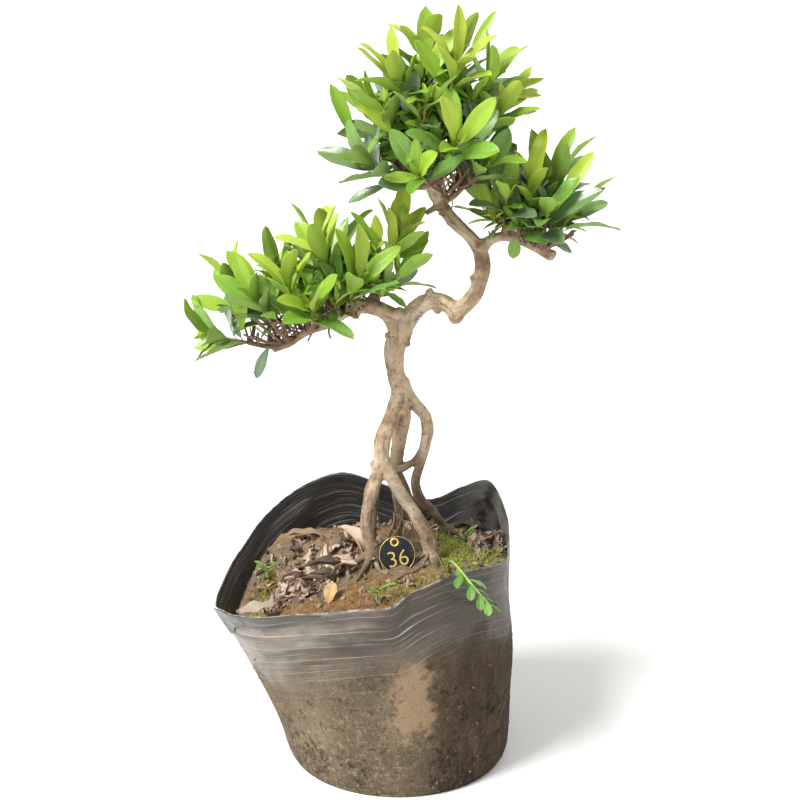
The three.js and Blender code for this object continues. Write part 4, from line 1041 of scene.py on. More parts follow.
def makeBag():
    look = bagLook
    around, rows, bottom = look["around"], look["rows"], look["bottomRows"]
    bag = grid("bagFilm", around, rows + bottom)
    flat = pointsOf(bag)
    column = np.rint((flat[:, 0] + 1) / 2 * around).astype(int)
    row = np.rint((flat[:, 1] + 1) / 2 * (rows + bottom)).astype(int)
    points, outwards, below = np.zeros((len(flat), 3)), np.zeros((len(flat), 3)), np.zeros(len(flat))
    for v in range(len(flat)):
        share = max(row[v] - bottom, 0) / rows
        share = 0.35 * share + 0.65 * share ** 1.35 if share < 1 else 1.0
        at, outward, deep = filmPoint(column[v] % around / around, share)
        points[v], outwards[v], below[v] = at, outward, deep
        if row[v] < bottom:
            inner = row[v] / bottom
            points[v] = vec(look["baseCentre"], 0, 0) * (1 - inner) + at * inner
            points[v][2] = 0
            below[v] = deep + 80 * (1 - inner)
    # soft waves, stretch lines, dents and creases push the wall in and out
    spin = np.arctan2(outwards[:, 1], outwards[:, 0])
    x, y, high = points.T
    place = points * mm
    circle = np.stack([np.cos(spin) * 90, np.sin(spin) * 90, -below * 0.4], 1) * mm
    floppy = look["floppy"] * wavy(circle, 26, 4) * ramp(46, 6, below)
    lines = look["lineDepth"] * np.sin(2 * pi * (below / look["line"] + 0.7 * wavy(circle, 60, 9)))
    lines *= ramp(64, 44, below) * (0.35 + 0.65 * ramp(-0.2, 0.4, wavy(circle, 34, 2)))
    dents = look["dents"] * wavy(place, 48, 21) * ramp(0, 30, high) * ramp(0, 30, below)
    tilted = np.stack([place[:, 0], place[:, 1], place[:, 2] * 1.9 + 0.4 * place[:, 0]], 1)
    creases = -look["creases"] * ramp(0.09, 0.0, np.abs(wavy(tilted, 58, 5))) * ramp(0.0, 0.35, wavy(place, 60, 40))
    creases *= ramp(4, 20, high) * ramp(2, 20, below)
    # the lip turns out at the front left, and a tuck stands in the front of the mouth
    lip = 2.2 * (ramp(-2.95, -2.6, spin) * ramp(-1.45, -1.9, spin)) * ramp(11, 0, below) ** 2
    tuck = 2.4 * np.exp(-((x + 4) / 5.5) ** 2) * (y < 0) * ramp(30, 2, below)
    tuck -= 1.6 * np.exp(-((x - 7) / 5) ** 2) * (y < 0) * ramp(24, 2, below)
    # one long drape falls from the notch in the mouth down to the left
    drape = (x + 4) * 0.72 + (below - 2) * 0.69
    drape = 3.2 * ramp(-26, -3, drape) * ramp(5, -1, drape) * (y < 0) * ramp(70, 30, below)
    push = (floppy + lines + dents + creases + lip + tuck + drape * ramp(-40, -4, y)) * (row >= bottom)
    points += outwards * push[:, None]
    points[:, 2] = np.maximum(points[:, 2], 0)
    movePoints(bag, points * mm)
    # metres round the mouth and metres below it
    rimLength = sum(norm(np.subtract(a, b)) for a, b in zip(look["rim"], look["rim"][1:] + look["rim"][:1]))
    unrolled(bag, np.stack([column / around * rimLength * mm, below * mm], 1))
    paint(bag, below=below)
    edited(bag, bpy.ops.mesh.remove_doubles, threshold=0.02 * mm)
    edited(bag, bpy.ops.mesh.normals_make_consistent, inside=False)
    if np.sum(normalsOf(bag) * (pointsOf(bag) - [0, 0, 0.07])) < 0:
        edited(bag, bpy.ops.mesh.flip_normals)
    outer = len(bag.data.vertices)
    modified(bag, "SOLIDIFY", thickness=look["film"] * mm, offset=-1)
    print("bag:", len(bag.data.polygons), "faces")
    return paint(bag, outside=np.arange(len(bag.data.vertices)) < outer)


def filmMaterial():
    w = newMaterial("blackFilm", Coat_Roughness=0.3)
    uv, outside, below = w.uv(), w.attribute("outside"), w.attribute("below")
    inside = 1 - outside
    acrossX = w.parts(w.place)[0]
    drawn = lambda stretch, detail, roughness=0.55: w.grain(1, detail, roughness, uv, stretch)
    # pale stretch lines follow the mouth, in long strokes of uneven strength
    depth = (w.parts(uv)[1] + (drawn((5, 22, 1), 3) - 0.5) * 0.012) + (drawn((2.2, 74, 1), 2) - 0.5) * 0.010
    strokes = lambda number, width: w.math("PINGPONG", depth * number, 0.5).falls(0, width)
    lines = w.largest(strokes(205, 0.12) * outside.rises(0, 1, 0.5),
                      strokes(547, 0.13) * outside.rises(0, 1, 0.9, 0.4))
    lines = lines * drawn((9, 120, 1), 4, 0.6).rises(0.40, 0.62) * below.rises(48, 70, 1, 0.06)
    lines = lines * w.largest(drawn((34, 300, 1), 3, 0.6).rises(0.40, 0.58, 0.15), outside * 0.55)
    film = w.blend(w.grain(26), (0.008, 0.008, 0.009), (0.026, 0.025, 0.025))
    # a painted sheen lightens the inside of the film towards the right
    paintedInnerSheen = acrossX.rises(0.032, 0.072) * inside * w.grain(60, 4, 0.62).rises(0.36, 0.62)
    film = w.blend(paintedInnerSheen * 0.8, film, (0.20, 0.19, 0.175))
    # dust greys the outside, palest on the left and painted darker towards the right as shade, and a painted silvery
    # sheen lies on the film left of the drape
    shifted = acrossX + (w.grain(22) - 0.5) * 0.07
    # dust on the left, and painted shade that darkens the right side
    dustLeftShadeRight = shifted.falls(-0.02, 0.06, 0.12)
    diagonal = shifted * 620 + below * 0.78
    # a painted silvery sheen on the film left of the drape's line
    paintedSilverSheen = diagonal.falls(-16, -3)
    dust = w.blend(w.mottled(30, 210, 2.2), (0.070, 0.054, 0.040), (0.200, 0.155, 0.112))
    dust = w.blend(dustLeftShadeRight, (0.050, 0.037, 0.026), w.blend(paintedSilverSheen * 0.8, dust, (0.340, 0.292, 0.230)))
    dust = w.blend(drawn((11, 95, 1), 4, 0.62).rises(0.46, 0.6) * 0.6, dust, (0.052, 0.044, 0.036))
    dusty = w.grain(46, 5, 0.66).rises(0.3, 0.62, 0.5) * outside * paintedSilverSheen.rises(0, 1, 0.88, 0.72)
    # painted shade in the fold right of the drape
    paintedFoldShade = diagonal.rises(-5, 4) * diagonal.falls(18, 62) * outside * below.falls(24, 48)
    lineColour = w.blend(inside, (0.56, 0.50, 0.42), (0.62, 0.59, 0.55))
    # the stretch lines and the rim's highlight are dimmed on the right as painted shade
    faint = w.largest(inside, dustLeftShadeRight.rises(0.15, 0.9, 0.4))
    lines = lines * faint
    # a painted highlight along the mouth's edge
    paintedRimHighlight = below.falls(0.3, 1.3) * w.grain(140).rises(0.4, 0.6) * (faint * 0.8)
    film = w.coats(film, (dusty, dust), (paintedFoldShade * 0.62, (0.040, 0.032, 0.025)),
                   (lines * inside.rises(0, 1, 0.62, 0.85), lineColour), (paintedRimHighlight, (0.42, 0.40, 0.38)))
    # dried mud over the lower part of the outside, painted darker on the right as shade, with one pale patch in front
    deepened = below + (w.grain(17, 4, 0.6) - 0.5) * 90
    mud = deepened.rises(26, 66) * outside
    crusted = deepened.rises(46, 92, 0.12)
    moved = w.value("Mapping", 0, Vector=w.place, Location=(0.3, 0.1, 0.2))
    clots = (w.grain(165, 8, 0.8, moved) + w.grain(27, 2, 0.55, moved) * 0.45).rises(0.775, 0.86) * crusted
    spot = w.value("Mapping", 0, settings={"vector_type": "TEXTURE"}, Vector=w.place, Scale=(0.017, 0.06, 0.036),
                   Location=(0.009, -0.083, 0.078))
    far = w.value("VectorMath", 1, spot, settings={"operation": "LENGTH"}) + (w.grain(85, 6, 0.72) - 0.5) * 2.6
    patch = far.falls(0.55, 1.1) * outside
    streaks = w.grain(150, 6, 0.7, stretch=(1, 1, 0.22)).rises(0.5, 0.66) * dustLeftShadeRight.rises(0.2, 0.9, 0.42, 0)
    mudCrustAndShade = w.coats(w.blend(w.mottled(24, 300, 2.8), (0.070, 0.053, 0.036), (0.225, 0.172, 0.108)),
                    (w.grain(260, 8, 0.78).rises(0.52, 0.60) * crusted * 0.6, (0.37, 0.29, 0.185)),
                    (clots * 0.62, (0.045, 0.037, 0.030)), (w.speckled(760, 0.16) * 0.7, (0.42, 0.35, 0.25)),
                    (w.speckled(480, 0.15) * 0.8, (0.03, 0.023, 0.018)),
                    # painted shade darkens the mud on the right
                    (dustLeftShadeRight.rises(0.2, 1, 0.82, 0), (0.042, 0.027, 0.017)), (streaks, (0.155, 0.112, 0.070)),
                    (patch * 0.75, (0.355, 0.25, 0.15)), (lines * 0.45, lineColour))
    mud = w.largest(mud, patch * 0.9)
    relief = drawn((60, 190, 1), 4, 0.6) * 0.7 + w.grain(520, 5, 0.7) * mud * 1.3 + lines * 0.6 + clots * mud * -0.8
    return w.finished(w.blend(mud * 0.95, film, mudCrustAndShade), relief, 0.0014, 0.85,
                      Roughness=w.largest(w.grain(120).rises(0.3, 0.7, 0.36, 0.52), mud * 0.9),
                      Coat_Weight=(1 - w.largest(mud, outside)) * 0.12,
                      Specular_IOR_Level=w.largest(mud, dusty * 0.7).rises(0, 1, 0.5, 0.1))


def insideBag(points):
    # true where a small thing's outermost points lie within the film
    out = points[:, :2] - [bagLook["rimCentre"] * mm, 0]
    for v in np.argsort(norm(out, axis=1))[-3:]:
        way = Vector((*unit(out[v]), 0))
        for drop in range(0, 48, 6):
            # what stands above the mouth is judged by the film below it
            hit, normal, _, distance = filmTree.ray_cast(Vector(points[v]) - Vector((0, 0, drop * mm)), way)
            if hit is not None:
                break
        if hit is None or normal.dot(way) > 0 or distance < bagLook["clear"] * mm:
            return False
    return True


lipLook = {
    "along": 90, "rows": 10, "shares": (0.512, 0.672), "depths": (18, 3), "gap": 2.0, "film": 0.5,
    "length": 0.16,  # m along the fold
    "dust": 0.22,  # how dusty it is, from 0 to 1
}


def makeLip():
    # the mouth is folded down over the wall at the front left, a long flap that narrows to the notch
    look = lipLook
    lip = grid("lipFold", look["along"], look["rows"])
    flat = (pointsOf(lip)[:, :2] + 1) / 2
    points, depths = np.zeros((len(flat), 3)), np.zeros(len(flat))
    for v, (s, down) in enumerate(flat):
        rim, outward, _ = filmPoint(mix(*look["shares"], s), 1.0)
        ends = min(1, 9 * s + 0.1, 14 * (1 - s) + 0.1)
        depth = mix(*look["depths"], s ** 0.8) * (1 + 0.25 * sin(11 * s)) * ends
        start = Vector((*(rim[:2] + outward[:2] * 30), rim[2] - 0.4 - depth * down)) * mm
        hit = filmTree.ray_cast(start, Vector(-outward))[0]
        at = np.array(hit) / mm if hit is not None else rim
        gap = look["gap"] * (0.35 + 0.65 * sin(pi * min(1, 0.25 + 0.6 * down))) + 0.5 * down * sin(23 * s)
        points[v] = at + outward * gap + up * (0.5 * (1 - down) ** 4)
        depths[v] = 1.5 + depth * down
    movePoints(lip, points * mm)
    unrolled(lip, np.stack([flat[:, 0] * look["length"], depths * mm], 1))
    edited(lip, bpy.ops.mesh.normals_make_consistent, inside=False)
    modified(lip, "SOLIDIFY", thickness=look["film"] * mm, offset=0)
    return paint(lip, below=np.resize(depths, len(lip.data.vertices)), outside=look["dust"])


film = filmMaterial()
bagFilm = dress(makeBag(), "bag", film, "bag")
filmTree = treeOf(bagFilm)
dress(makeLip(), "bag", film)


# soil: the solid's own shape, melted to an even skin and broken up into clods

soilLook = {"voxel": 1.9, "clod": 1.6, "crumb": 0.9, "spread": 0.7, "hiddenGap": 2.4, "keepOff": 0.3}


def makeSoil():
    look = soilLook
    piece = linked("soilHeap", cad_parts["soil"].data.copy())
    edited(piece, bpy.ops.mesh.remove_doubles, threshold=0.001 * mm)
    modified(piece, "REMESH", mode="VOXEL", voxel_size=look["voxel"] * mm)
    place = smoothed(pointsOf(piece), meshEdges(piece), 2)
    facing = normalsOf(movePoints(piece, place))
    top = ramp(0.2, 0.7, facing[:, 2]) * ramp(0.085, 0.1, place[:, 2])
    rise = (look["clod"] * (np.abs(wavy(place, 9, 1)) * 2 - 0.5) + look["crumb"] * wavy(place, 3.4, 2)) * top
    place = place + facing * (rise * mm)[:, None]
    place[:, :2] += facing[:, :2] * (look["spread"] * mm) * ramp(0.10, 0.12, place[:, 2])[:, None]
    hidden = ramp(0.095, 0.086, place[:, 2]) * ramp(0.5, 0.2, np.abs(facing[:, 2]))
    place[:, :2] -= facing[:, :2] * (look["hiddenGap"] * mm * hidden)[:, None]
    back = 6 * mm
    for v in np.nonzero(place[:, 2] > 0.085)[0]:
        # no clod pokes through the film
        way = Vector((place[v, 0] - bagLook["rimCentre"] * mm, place[v, 1], 0)).normalized()
        distance = filmTree.ray_cast(Vector(place[v]) - way * back, way, back + mm)[3]
        if distance is not None:
            place[v] -= np.array(way) * max(0, back + look["keepOff"] * mm - distance)
    print("soil:", len(piece.data.polygons), "faces")
    return movePoints(piece, place)


def soilMaterial():
    w = newMaterial("soil", Roughness=0.95, Specular_IOR_Level=0.2)
    pale = w.speckled(360, 0.2)
    moss = w.blend(w.parts(w.place)[0].rises(-0.01, 0.03), (0.42, 0.215, 0.065), (0.27, 0.25, 0.055))
    colour = w.coats(w.blend(w.mottled(60, 420, 2), (0.050, 0.033, 0.020), (0.33, 0.235, 0.15)),
                     (w.grain(34).rises(0.44, 0.56) * w.grain(700, 3, 0.7).rises(0.45, 0.62) * 0.8, moss),
                     (pale * 0.6, (0.45, 0.37, 0.27)))
    return w.finished(colour, w.grain(900, 5, 0.75) + pale * 0.5, 0.0015, 0.9)


soilHeap = dress(makeSoil(), "soil", soilMaterial(), "soil")
groundTree = treeOf(soilHeap)


def groundAt(x, y):
    # height of the soil and which way it faces at x, y in mm, or None past its edge
    hit, normal, _, _ = groundTree.ray_cast(Vector((x * mm, y * mm, 0.3)), Vector((0, 0, -1)))
    return (hit.z / mm, normal) if hit is not None and hit.z > 0.09 else None


# what lies and grows on the soil

moundLook = {
    "crumbs": 900, "crumbSize": (0.6, 2.6), "roundFrom": 1.3,  # mm
    "mudCrumbs": 900, "mudSize": (0.25, 1.1),
    # patches of litter: middle x, y, radii, how many, a shade from 0 to 1 and the pieces' sizes in mm
    "debris": [[-52, 6, 36, 34, 60, 0.55, 6, 17], [-60, -28, 28, 22, 36, 0.6, 6, 16],
               [-20, -2, 26, 26, 26, 0.5, 5, 14], [-54, -6, 32, 28, 17, 0.75, 18, 34],
               [60, 28, 16, 30, 34, 0.6, 7, 18], [52, 52, 18, 14, 14, 0.6, 7, 18], [-10, 55, 44, 16, 22, 0.55, 6, 16],
               [-98, -30, 12, 26, 14, 0.6, 6, 16], [8, -54, 22, 12, 16, 0.45, 5, 13],
               [-36, -72, 30, 14, 8, 0.5, 4, 10], [62, -6, 10, 34, 18, 0.65, 6, 16],
               [-80, 14, 24, 44, 56, 0.62, 5, 15], [0, 62, 50, 14, 20, 0.5, 6, 16]],
    "tall": 1.9,  # how much larger the tallest green tufts are
    # patches of moss: middle x, y, radii, how many tufts and a shade from orange to green
    "moss": [[-62, -64, 40, 20, 1100, 0.08], [-30, -78, 26, 14, 420, 0.12], [-22, 48, 22, 12, 330, 0.02],
             [8, 42, 18, 12, 220, 0.1], [46, -8, 26, 28, 1000, 0.9], [12, -64, 30, 14, 560, 0.6],
             [20, -42, 13, 10, 200, 0.4], [-84, -76, 18, 10, 200, 0.3], [-26, -52, 20, 13, 330, 0.25],
             [-96, 12, 10, 18, 170, 0.75], [-98, -18, 8, 16, 120, 0.6], [38, 28, 16, 12, 220, 0.95]],
}


def scattered(patch, seed):
    # a place inside a patch's ellipse, thicker towards its middle
    angle, far = 2 * pi * draw(seed, 1), draw(seed, 2) ** 0.62
    return patch[0] + patch[2] * far * cos(angle), patch[1] + patch[3] * far * sin(angle)


def standing(normal, spin, lean=0.0):
    # a turn that sets a template's Z along a surface's normal, spun about it and leaned over
    tilt = Vector((0, 0, 1)).rotation_difference(normal).to_matrix()
    return np.array(tilt @ Matrix.Rotation(spin, 3, "Z") @ Matrix.Rotation(lean, 3, "X")).T


def planted(template, x, y, size, spin, lean, sunk):
    # the template's points set on the ground there, or None past its edge or through the film
    found = groundAt(x, y)
    if found is None:
        return None
    points = pointsOf(template) @ standing(found[1], spin, lean) * size + vec(x, y, found[0] - sunk) * mm
    return points if insideBag(points) else None


def makeCrumb(kind, roundness):
    bpy.ops.mesh.primitive_ico_sphere_add(subdivisions=roundness, radius=mm)
    crumb = added("crumb")
    place = pointsOf(crumb)
    return movePoints(crumb, place * ((1 + 0.45 * wavy(place, 1.1, kind * 5))[:, None] * vec(1, 0.8, 0.62)))


def makeCrumbs():
    # the larger crumbs are rounder
    low, high = moundLook["crumbSize"]
    made = []
    for roundness in (1, 2):
        crumb, copies, tints = makeCrumb(2, roundness), [], []
        for i in range(moundLook["crumbs"]):
            size = low + (high - low) * draw(i, 41) ** 3.5
            if (size > moundLook["roundFrom"]) == (roundness == 2):
                points = planted(crumb, *scattered([-22, -4, 98, 88], 5000 + i), size, 6.28 * draw(i, 42),
                                 3 * draw(i, 43), -0.2 * size)
                if points is not None:
                    copies.append(points)
                    tints.append(draw(i, 44))
        made.append(repeated(crumb, "crumbs", copies, tint=tints))
    return joined(made, "soilCrumbs")


def makeMudCrumbs():
    # grit and mud stuck on the outside of the bag
    crumb, copies, tints = makeCrumb(1, 1), [], []
    low, high = moundLook["mudSize"]
    for i in range(moundLook["mudCrumbs"]):
        turn = 2 * pi * draw(i, 61)
        outward = Vector((cos(turn), sin(turn), 0))
        start = Vector((-10 * mm, 0, (2 + 92 * draw(i, 62) ** 1.8) * mm)) + outward * 0.3
        hit, normal, _, _ = filmTree.ray_cast(start, -outward)
        if hit is not None:
            size = low + (high - low) * draw(i, 63) ** 3
            copies.append(pointsOf(crumb) @ standing(normal, 6.28 * draw(i, 64)) * size + np.array(hit))
            tints.append(0.15 + 0.6 * draw(i, 65))
    return repeated(crumb, "mudCrumbs", copies, tint=tints)


def makeTuft():
    # a few slender leaves of moss
    blades = []
    for i in range(6):
        bpy.ops.mesh.primitive_cone_add(vertices=3, radius1=0.3 * mm, depth=1.0 * mm, location=(0, 0, 0.5 * mm))
        blade = added("blade")
        bpy.ops.object.transform_apply(location=True, rotation=True, scale=True)
        turn = Matrix.Rotation(i * goldenAngle, 3, "Z") @ Matrix.Rotation(0.3 + 0.16 * i, 3, "X")
        blades.append(movePoints(blade, pointsOf(blade) * vec(1, 1, 2.5 - 0.24 * i) @ np.array(turn).T))
    return joined(blades, "tuft")


def makeMoss():
    tuft, copies, tints = makeTuft(), [], []
    for k, patch in enumerate(moundLook["moss"]):
        for seed in range(9000 + 1000 * k, 9000 + 1000 * k + patch[4]):
            x, y = scattered(patch, seed)
            if noise.noise(Vector((x / 7, y / 7, k))) < -0.12:
                continue
            size = 0.6 + 0.8 * draw(seed, 3) ** 1.5
            if patch[5] > 0.55 and draw(seed, 7) < 0.35:
                size *= moundLook["tall"]
            points = planted(tuft, x, y, size, 6.28 * draw(seed, 5), 0.5 * draw(seed, 6), 0.3)
            if points is not None:
                copies.append(points)
                tints.append(np.clip(patch[5] + 0.7 * (draw(seed, 4) - 0.55), 0, 1))
    return repeated(tuft, "mossTufts", copies, tint=tints)


def tornOutline(share):
    # a broken leaf's margin
    return leafOutline(share) * (1 + 0.28 * np.sin(9 * share + 1) * np.sin(23 * share))


def fallenPose(x, y, z, turn, lift, length, width, bend, fold):
    ahead = vec(cos(turn) * cos(lift), sin(turn) * cos(lift), sin(lift))
    return posed(vec(x, y, z) - ahead * length / 2, ahead, squared(up, ahead), length, width, bend, fold)


def makeDebris():
    scrap, copies, tints, darks = makeLeafTemplate("scrap", 4, 6), [], [], []
    for k, patch in enumerate(moundLook["debris"]):
        low, high = patch[6:]
        for seed in range(20000 + 1000 * k, 20000 + 1000 * k + patch[4]):
            x, y = scattered(patch, seed)
            found = groundAt(x, y)
            if found is None:
                continue
            length = low + (high - low) * draw(seed, 7) ** 1.5
            way = 1 if draw(seed, 12) < 0.65 else -1
            pose = fallenPose(x, y, 0, 6.28 * draw(seed, 9), 0.5 * (draw(seed, 10) - 0.35), length,
                              length * mix(0.22, 0.6, draw(seed, 8)), way * (0.3 + 1.6 * draw(seed, 11)),
                              way * (0.3 + 0.7 * draw(seed, 13)))
            points = bladePoints(scrap, pose, seed, tornOutline, 0.8, 0.7)
            points[:, 2] += found[0] * mm - points[:, 2].min() - (0.4 + 1.4 * draw(seed, 14)) * mm
            if insideBag(points):
                copies.append(points)
                tints.append(np.clip(patch[5] + 0.7 * (draw(seed, 15) - 0.5), 0, 1))
                darks.append(draw(seed, 16) < 0.16)
    return repeated(scrap, "barkLitter", copies, tint=tints, dark=darks)


def crumbMaterial():
    w = newMaterial("soilCrumb", Roughness=0.95, Specular_IOR_Level=0.2)
    tint, grain = w.attribute("tint"), w.grain(900, 4, 0.7)
    colour = w.coats(w.blend(tint.rises(0, 0.8), (0.045, 0.031, 0.02), (0.33, 0.24, 0.155)),
                     (w.math("GREATER_THAN", tint, 0.93), (0.34, 0.29, 0.23)), (grain * 0.5, (0.07, 0.05, 0.035)))
    return w.finished(colour, grain, 0.0006)


def mossMaterial():
    w = newMaterial("moss", Roughness=0.8, Specular_IOR_Level=0.3)
    shade = w.shades(w.attribute("tint"), (0.0, (0.43, 0.215, 0.075)), (1.0, (0.27, 0.37, 0.05)),
                     (0.45, (0.40, 0.28, 0.085)))
    return w.finished(w.blend(w.grain(210).rises(0.4, 0.7, 0, 0.5), shade, (0.17, 0.13, 0.05)))


def dryLeafMaterial(name, pale, dark):
    # thin dry leaf or bark: a rib, blotches and fine creases
    w = newMaterial(name, Roughness=0.8, Specular_IOR_Level=0.25)
    rib = w.math("LESS_THAN", w.ribAndShare()[0], 0.03)
    tone = (w.mottled(110, 620, 2) + w.attribute("tint")) * 0.5
    colour = w.coats(w.blend(tone, dark, pale), (w.attribute("dark") * 0.75, (0.055, 0.045, 0.042)),
                     (rib * 0.35, pale), (w.speckled(520, 0.2) * 0.6, (0.06, 0.04, 0.025)))
    return w.finished(colour, w.grain(2, 4, 0.65, w.uv(), (14, 5, 1)) + rib * 0.4, 0.0009, 0.9)


crumbFinish = crumbMaterial()
dress(makeCrumbs(), "soil", crumbFinish)
dress(makeMoss(), "soil", mossMaterial())
dress(makeDebris(), "litter", dryLeafMaterial("dryScrap", (0.76, 0.60, 0.45), (0.20, 0.125, 0.085)))
dress(makeMudCrumbs(), "soil", crumbFinish)
print("soil dressed")


# fallen leaves, each on its solid

# middle x, y, which way it points, lift, length, width, bend, fold, then the pale and the dark tone
fallen = {
    "litter_pale": [-47, -58, 80, 50, 18, 10, 0.5, 0.3, (0.66, 0.46, 0.24), (0.50, 0.31, 0.14)],
    "litter_dark": [-50, -26, 30, 6, 38, 14, 0.7, 0.75, (0.19, 0.15, 0.12), (0.085, 0.062, 0.048)],
    "litter_sheet": [-97, -44, 200, 4, 27, 17, 0.35, 0.2, (0.52, 0.44, 0.34), (0.33, 0.26, 0.19)],
    "litter_back": [-70, 44, 165, 8, 32, 14, 0.5, 0.45, (0.34, 0.23, 0.155), (0.17, 0.11, 0.075)],
    "litter_right": [61, 12, 75, 8, 25, 14, 1.3, 0.5, (0.36, 0.21, 0.14), (0.17, 0.09, 0.06)],
    "litter_rear": [50, 56, 140, 6, 28, 12, 0.8, 0.5, (0.29, 0.19, 0.13), (0.13, 0.085, 0.06)],
}


def makeFallen(name, x, y, turn, lift, length, width, bend, fold):
    template = makeLeafTemplate("fallenLeaf", 10, 16)
    pose = fallenPose(x, y, 160, radians(turn), radians(lift), length, width, bend, fold)
    seed = 300 + len(name) + turn
    points = bladePoints(template, pose, seed, wave=0.9, petiole=0.5)
    leaf = copied(template, name.replace("_", "") + "Leaf", points, tint=draw(seed, 1), dark=0)
    remove(template)
    points = pointsOf(leaf)
    points[:, 2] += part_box(name)[0].z - points[:, 2].min()
    return movePoints(leaf, points)


for name, row in fallen.items():
    dress(makeFallen(name, *row[:8]), "litter", dryLeafMaterial(name + "Finish", *row[8:]), name)


# rootlets that spread from the feet over the soil, and the thatch between the two legs

rootletLook = {
    # foot x, y, its radius, how many, the middle direction in degrees and the spread
    "feet": [[-18, -21, 4.6, 22, 235, 210], [21, -20, 4.6, 18, 290, 220], [13, 31, 3.2, 7, 40, 260],
             [35, 34, 3.4, 8, 20, 260], [0, 30, 3.0, 5, 150, 200]],
    "length": (9, 26), "radius": (0.28, 0.75),
    "thatch": 34,
    # thicker roots that leave the feet: the same facts
    "toes": [[-18, -21, 3.0, 6, 235, 200], [21, -20, 3.0, 5, 285, 190], [35, 34, 2.4, 3, 20, 200]],
    "toeLength": (12, 27), "toeRadius": (0.9, 1.9),
    # a pale root that lies across the soil towards the right foot: x, y and radius
    "pale": [[-6, -53, 0.9], [3, -46, 1.15], [10, -38, 1.3], [17, -29, 1.5]],
}


def footLines(feet, first, lengths, radii, start):
    # roots that leave a foot and creep over the soil
    lines = []
    for k, (x, y, foot, number, middle, spread) in enumerate(feet):
        for seed in range(first + 60 * k, first + 60 * k + number):
            turn = radians(middle + spread * (draw(seed, 1) - 0.5))
            length, radius = mix(*lengths, draw(seed, 2) ** 1.6), mix(*radii, draw(seed, 3) ** 2)
            line = []
            for s in np.linspace(0, 1, 9):
                far = foot * 0.7 + length * s
                bent = turn + 0.5 * sin(3 * s + 6.28 * draw(seed, 4)) * s
                px, py = x + far * cos(bent), y + far * sin(bent)
                found = groundAt(px, py)
                if found is None:
                    break
                rise = start * (1 - s) ** 3 * (0.4 + draw(seed, 5)) + 0.5 * sin(9 * s + seed)
                line.append([px, py, found[0] + radius * 0.4 + rise - 1.2 * s, radius * (1 - 0.55 * s)])
            if len(line) > 3:
                lines.append(line)
    return lines


def makeToes():
    look = rootletLook
    toes = tubesOf(footLines(look["toes"], 1500, look["toeLength"], look["toeRadius"], 9), "footRoots", 2)
    place = pointsOf(toes)
    movePoints(toes, place + normalsOf(toes) * (wavy(place, 4, 8) * 0.5 * mm)[:, None])
    return paint(toes, ridge=0.5, girth=3.2, ring=0.2, scar=0.2)


def makeRootlets():
    look = rootletLook
    lines = footLines(look["feet"], 700, look["length"], look["radius"], 7)
    for seed in range(1200, 1200 + look["thatch"]):
        # hanging roots behind the arch of the legs
        x, y = mix(-15, 14, draw(seed, 1)), mix(-12, 6, draw(seed, 2))
        top, bottom = mix(168, 192, draw(seed, 3) ** 1.3), groundAt(x, y)[0] - 1
        radius = mix(0.3, 0.8, draw(seed, 4) ** 2)
        line = []
        for s in np.linspace(0, 1, 8):
            sway = 2.6 * sin(5 * s + seed) * sin(pi * s)
            line.append([x * (1 - 0.55 * (1 - s)) + sway, y * (1 - 0.4 * (1 - s)) - 5 * (1 - s) + 0.6 * sway,
                         mix(top, bottom, s), radius * (1 - 0.3 * s)])
        lines.append(line)
    lines.append([[x, y, groundAt(x, y)[0] + 1.2, radius] for x, y, radius in look["pale"]])
    roots = tubesOf(lines, "rootlets", 1)
    return paint(roots, tint=np.clip(0.5 + wavy(pointsOf(roots), 14, 2), 0, 1))


def rootletMaterial():
    w = newMaterial("rootlet", Roughness=0.85, Specular_IOR_Level=0.25)
    share = (w.mottled(90, 700, 1.6) + w.attribute("tint")) * 0.5
    return w.finished(w.blend(share, (0.095, 0.06, 0.038), (0.36, 0.265, 0.18)), w.grain(1200), 0.0004)


dress(makeRootlets(), "wood", rootletMaterial())
dress(makeToes(), "wood", bark)


# green weeds

herbs = {
    "weed_trailing": {"path": [[33, -33, 144], [33, -47, 159], [37, -84, 172], [45, -99, 167], [52, -104, 160],
                               [58, -107, 154]], "radius": 1, "leaf": [13, 6.4], "from": 0.5, "pairs": 4,
                      "hanging": 18},
    "seedling_front": {"path": [[-15, -75, 142], [-15, -76, 149], [-13, -79, 154]],
                       "radius": 0.9, "leaf": [13, 4.4], "from": 0.55, "pairs": 2},
    "seedling_left": {"path": [[-94, 20, 112], [-95, 20, 124], [-96, 18, 131]],
                      "radius": 0.9, "leaf": [11, 4.4], "from": 0.5, "pairs": 2},
    "seedling_right": {"path": [[46, 20, 139], [46, 19, 149], [47, 17, 156]],
                       "radius": 0.9, "leaf": [12, 3.8], "from": 0.5, "pairs": 2},
}


def roundOutline(share):
    # widest past the middle, with a round tip
    return np.sin(pi * np.clip(share, 0, 1) ** 1.7) ** 0.62


def herbPose(herb, seed, i):
    t = mix(herb["from"], 0.97, i / (2 * herb["pairs"] - 1))
    along = curveTangent(herb["path"], t)
    level = unit(np.cross(along, up))
    way = 1 if i % 2 == 0 else -1
    ahead = unit(along * 0.75 + level * way * 0.8 + up * 0.3 * (draw(seed, i, 1) - 0.4))
    return posed(curvePoint(herb["path"], t), ahead, squared(up, ahead),
                 herb["leaf"][0] * (0.8 + 0.35 * draw(seed, i, 2)), herb["leaf"][1], 0.5, 0.25)


def hangingPose(herb, seed, i):
    # smaller leaves hang between the large ones
    ahead = herbPose(herb, seed + 40, i)["ahead"]
    hang = unit(ahead * 0.5 + vec(0.15 * (-1) ** i, -0.35, -0.9))
    return posed(curvePoint(herb["path"], 0.42 + 0.032 * i), hang, squared(vec(0.1, -1, 0.35), hang),
                 5.5 + 3 * draw(seed, i, 5), 3.3, 0.5, 0.25)


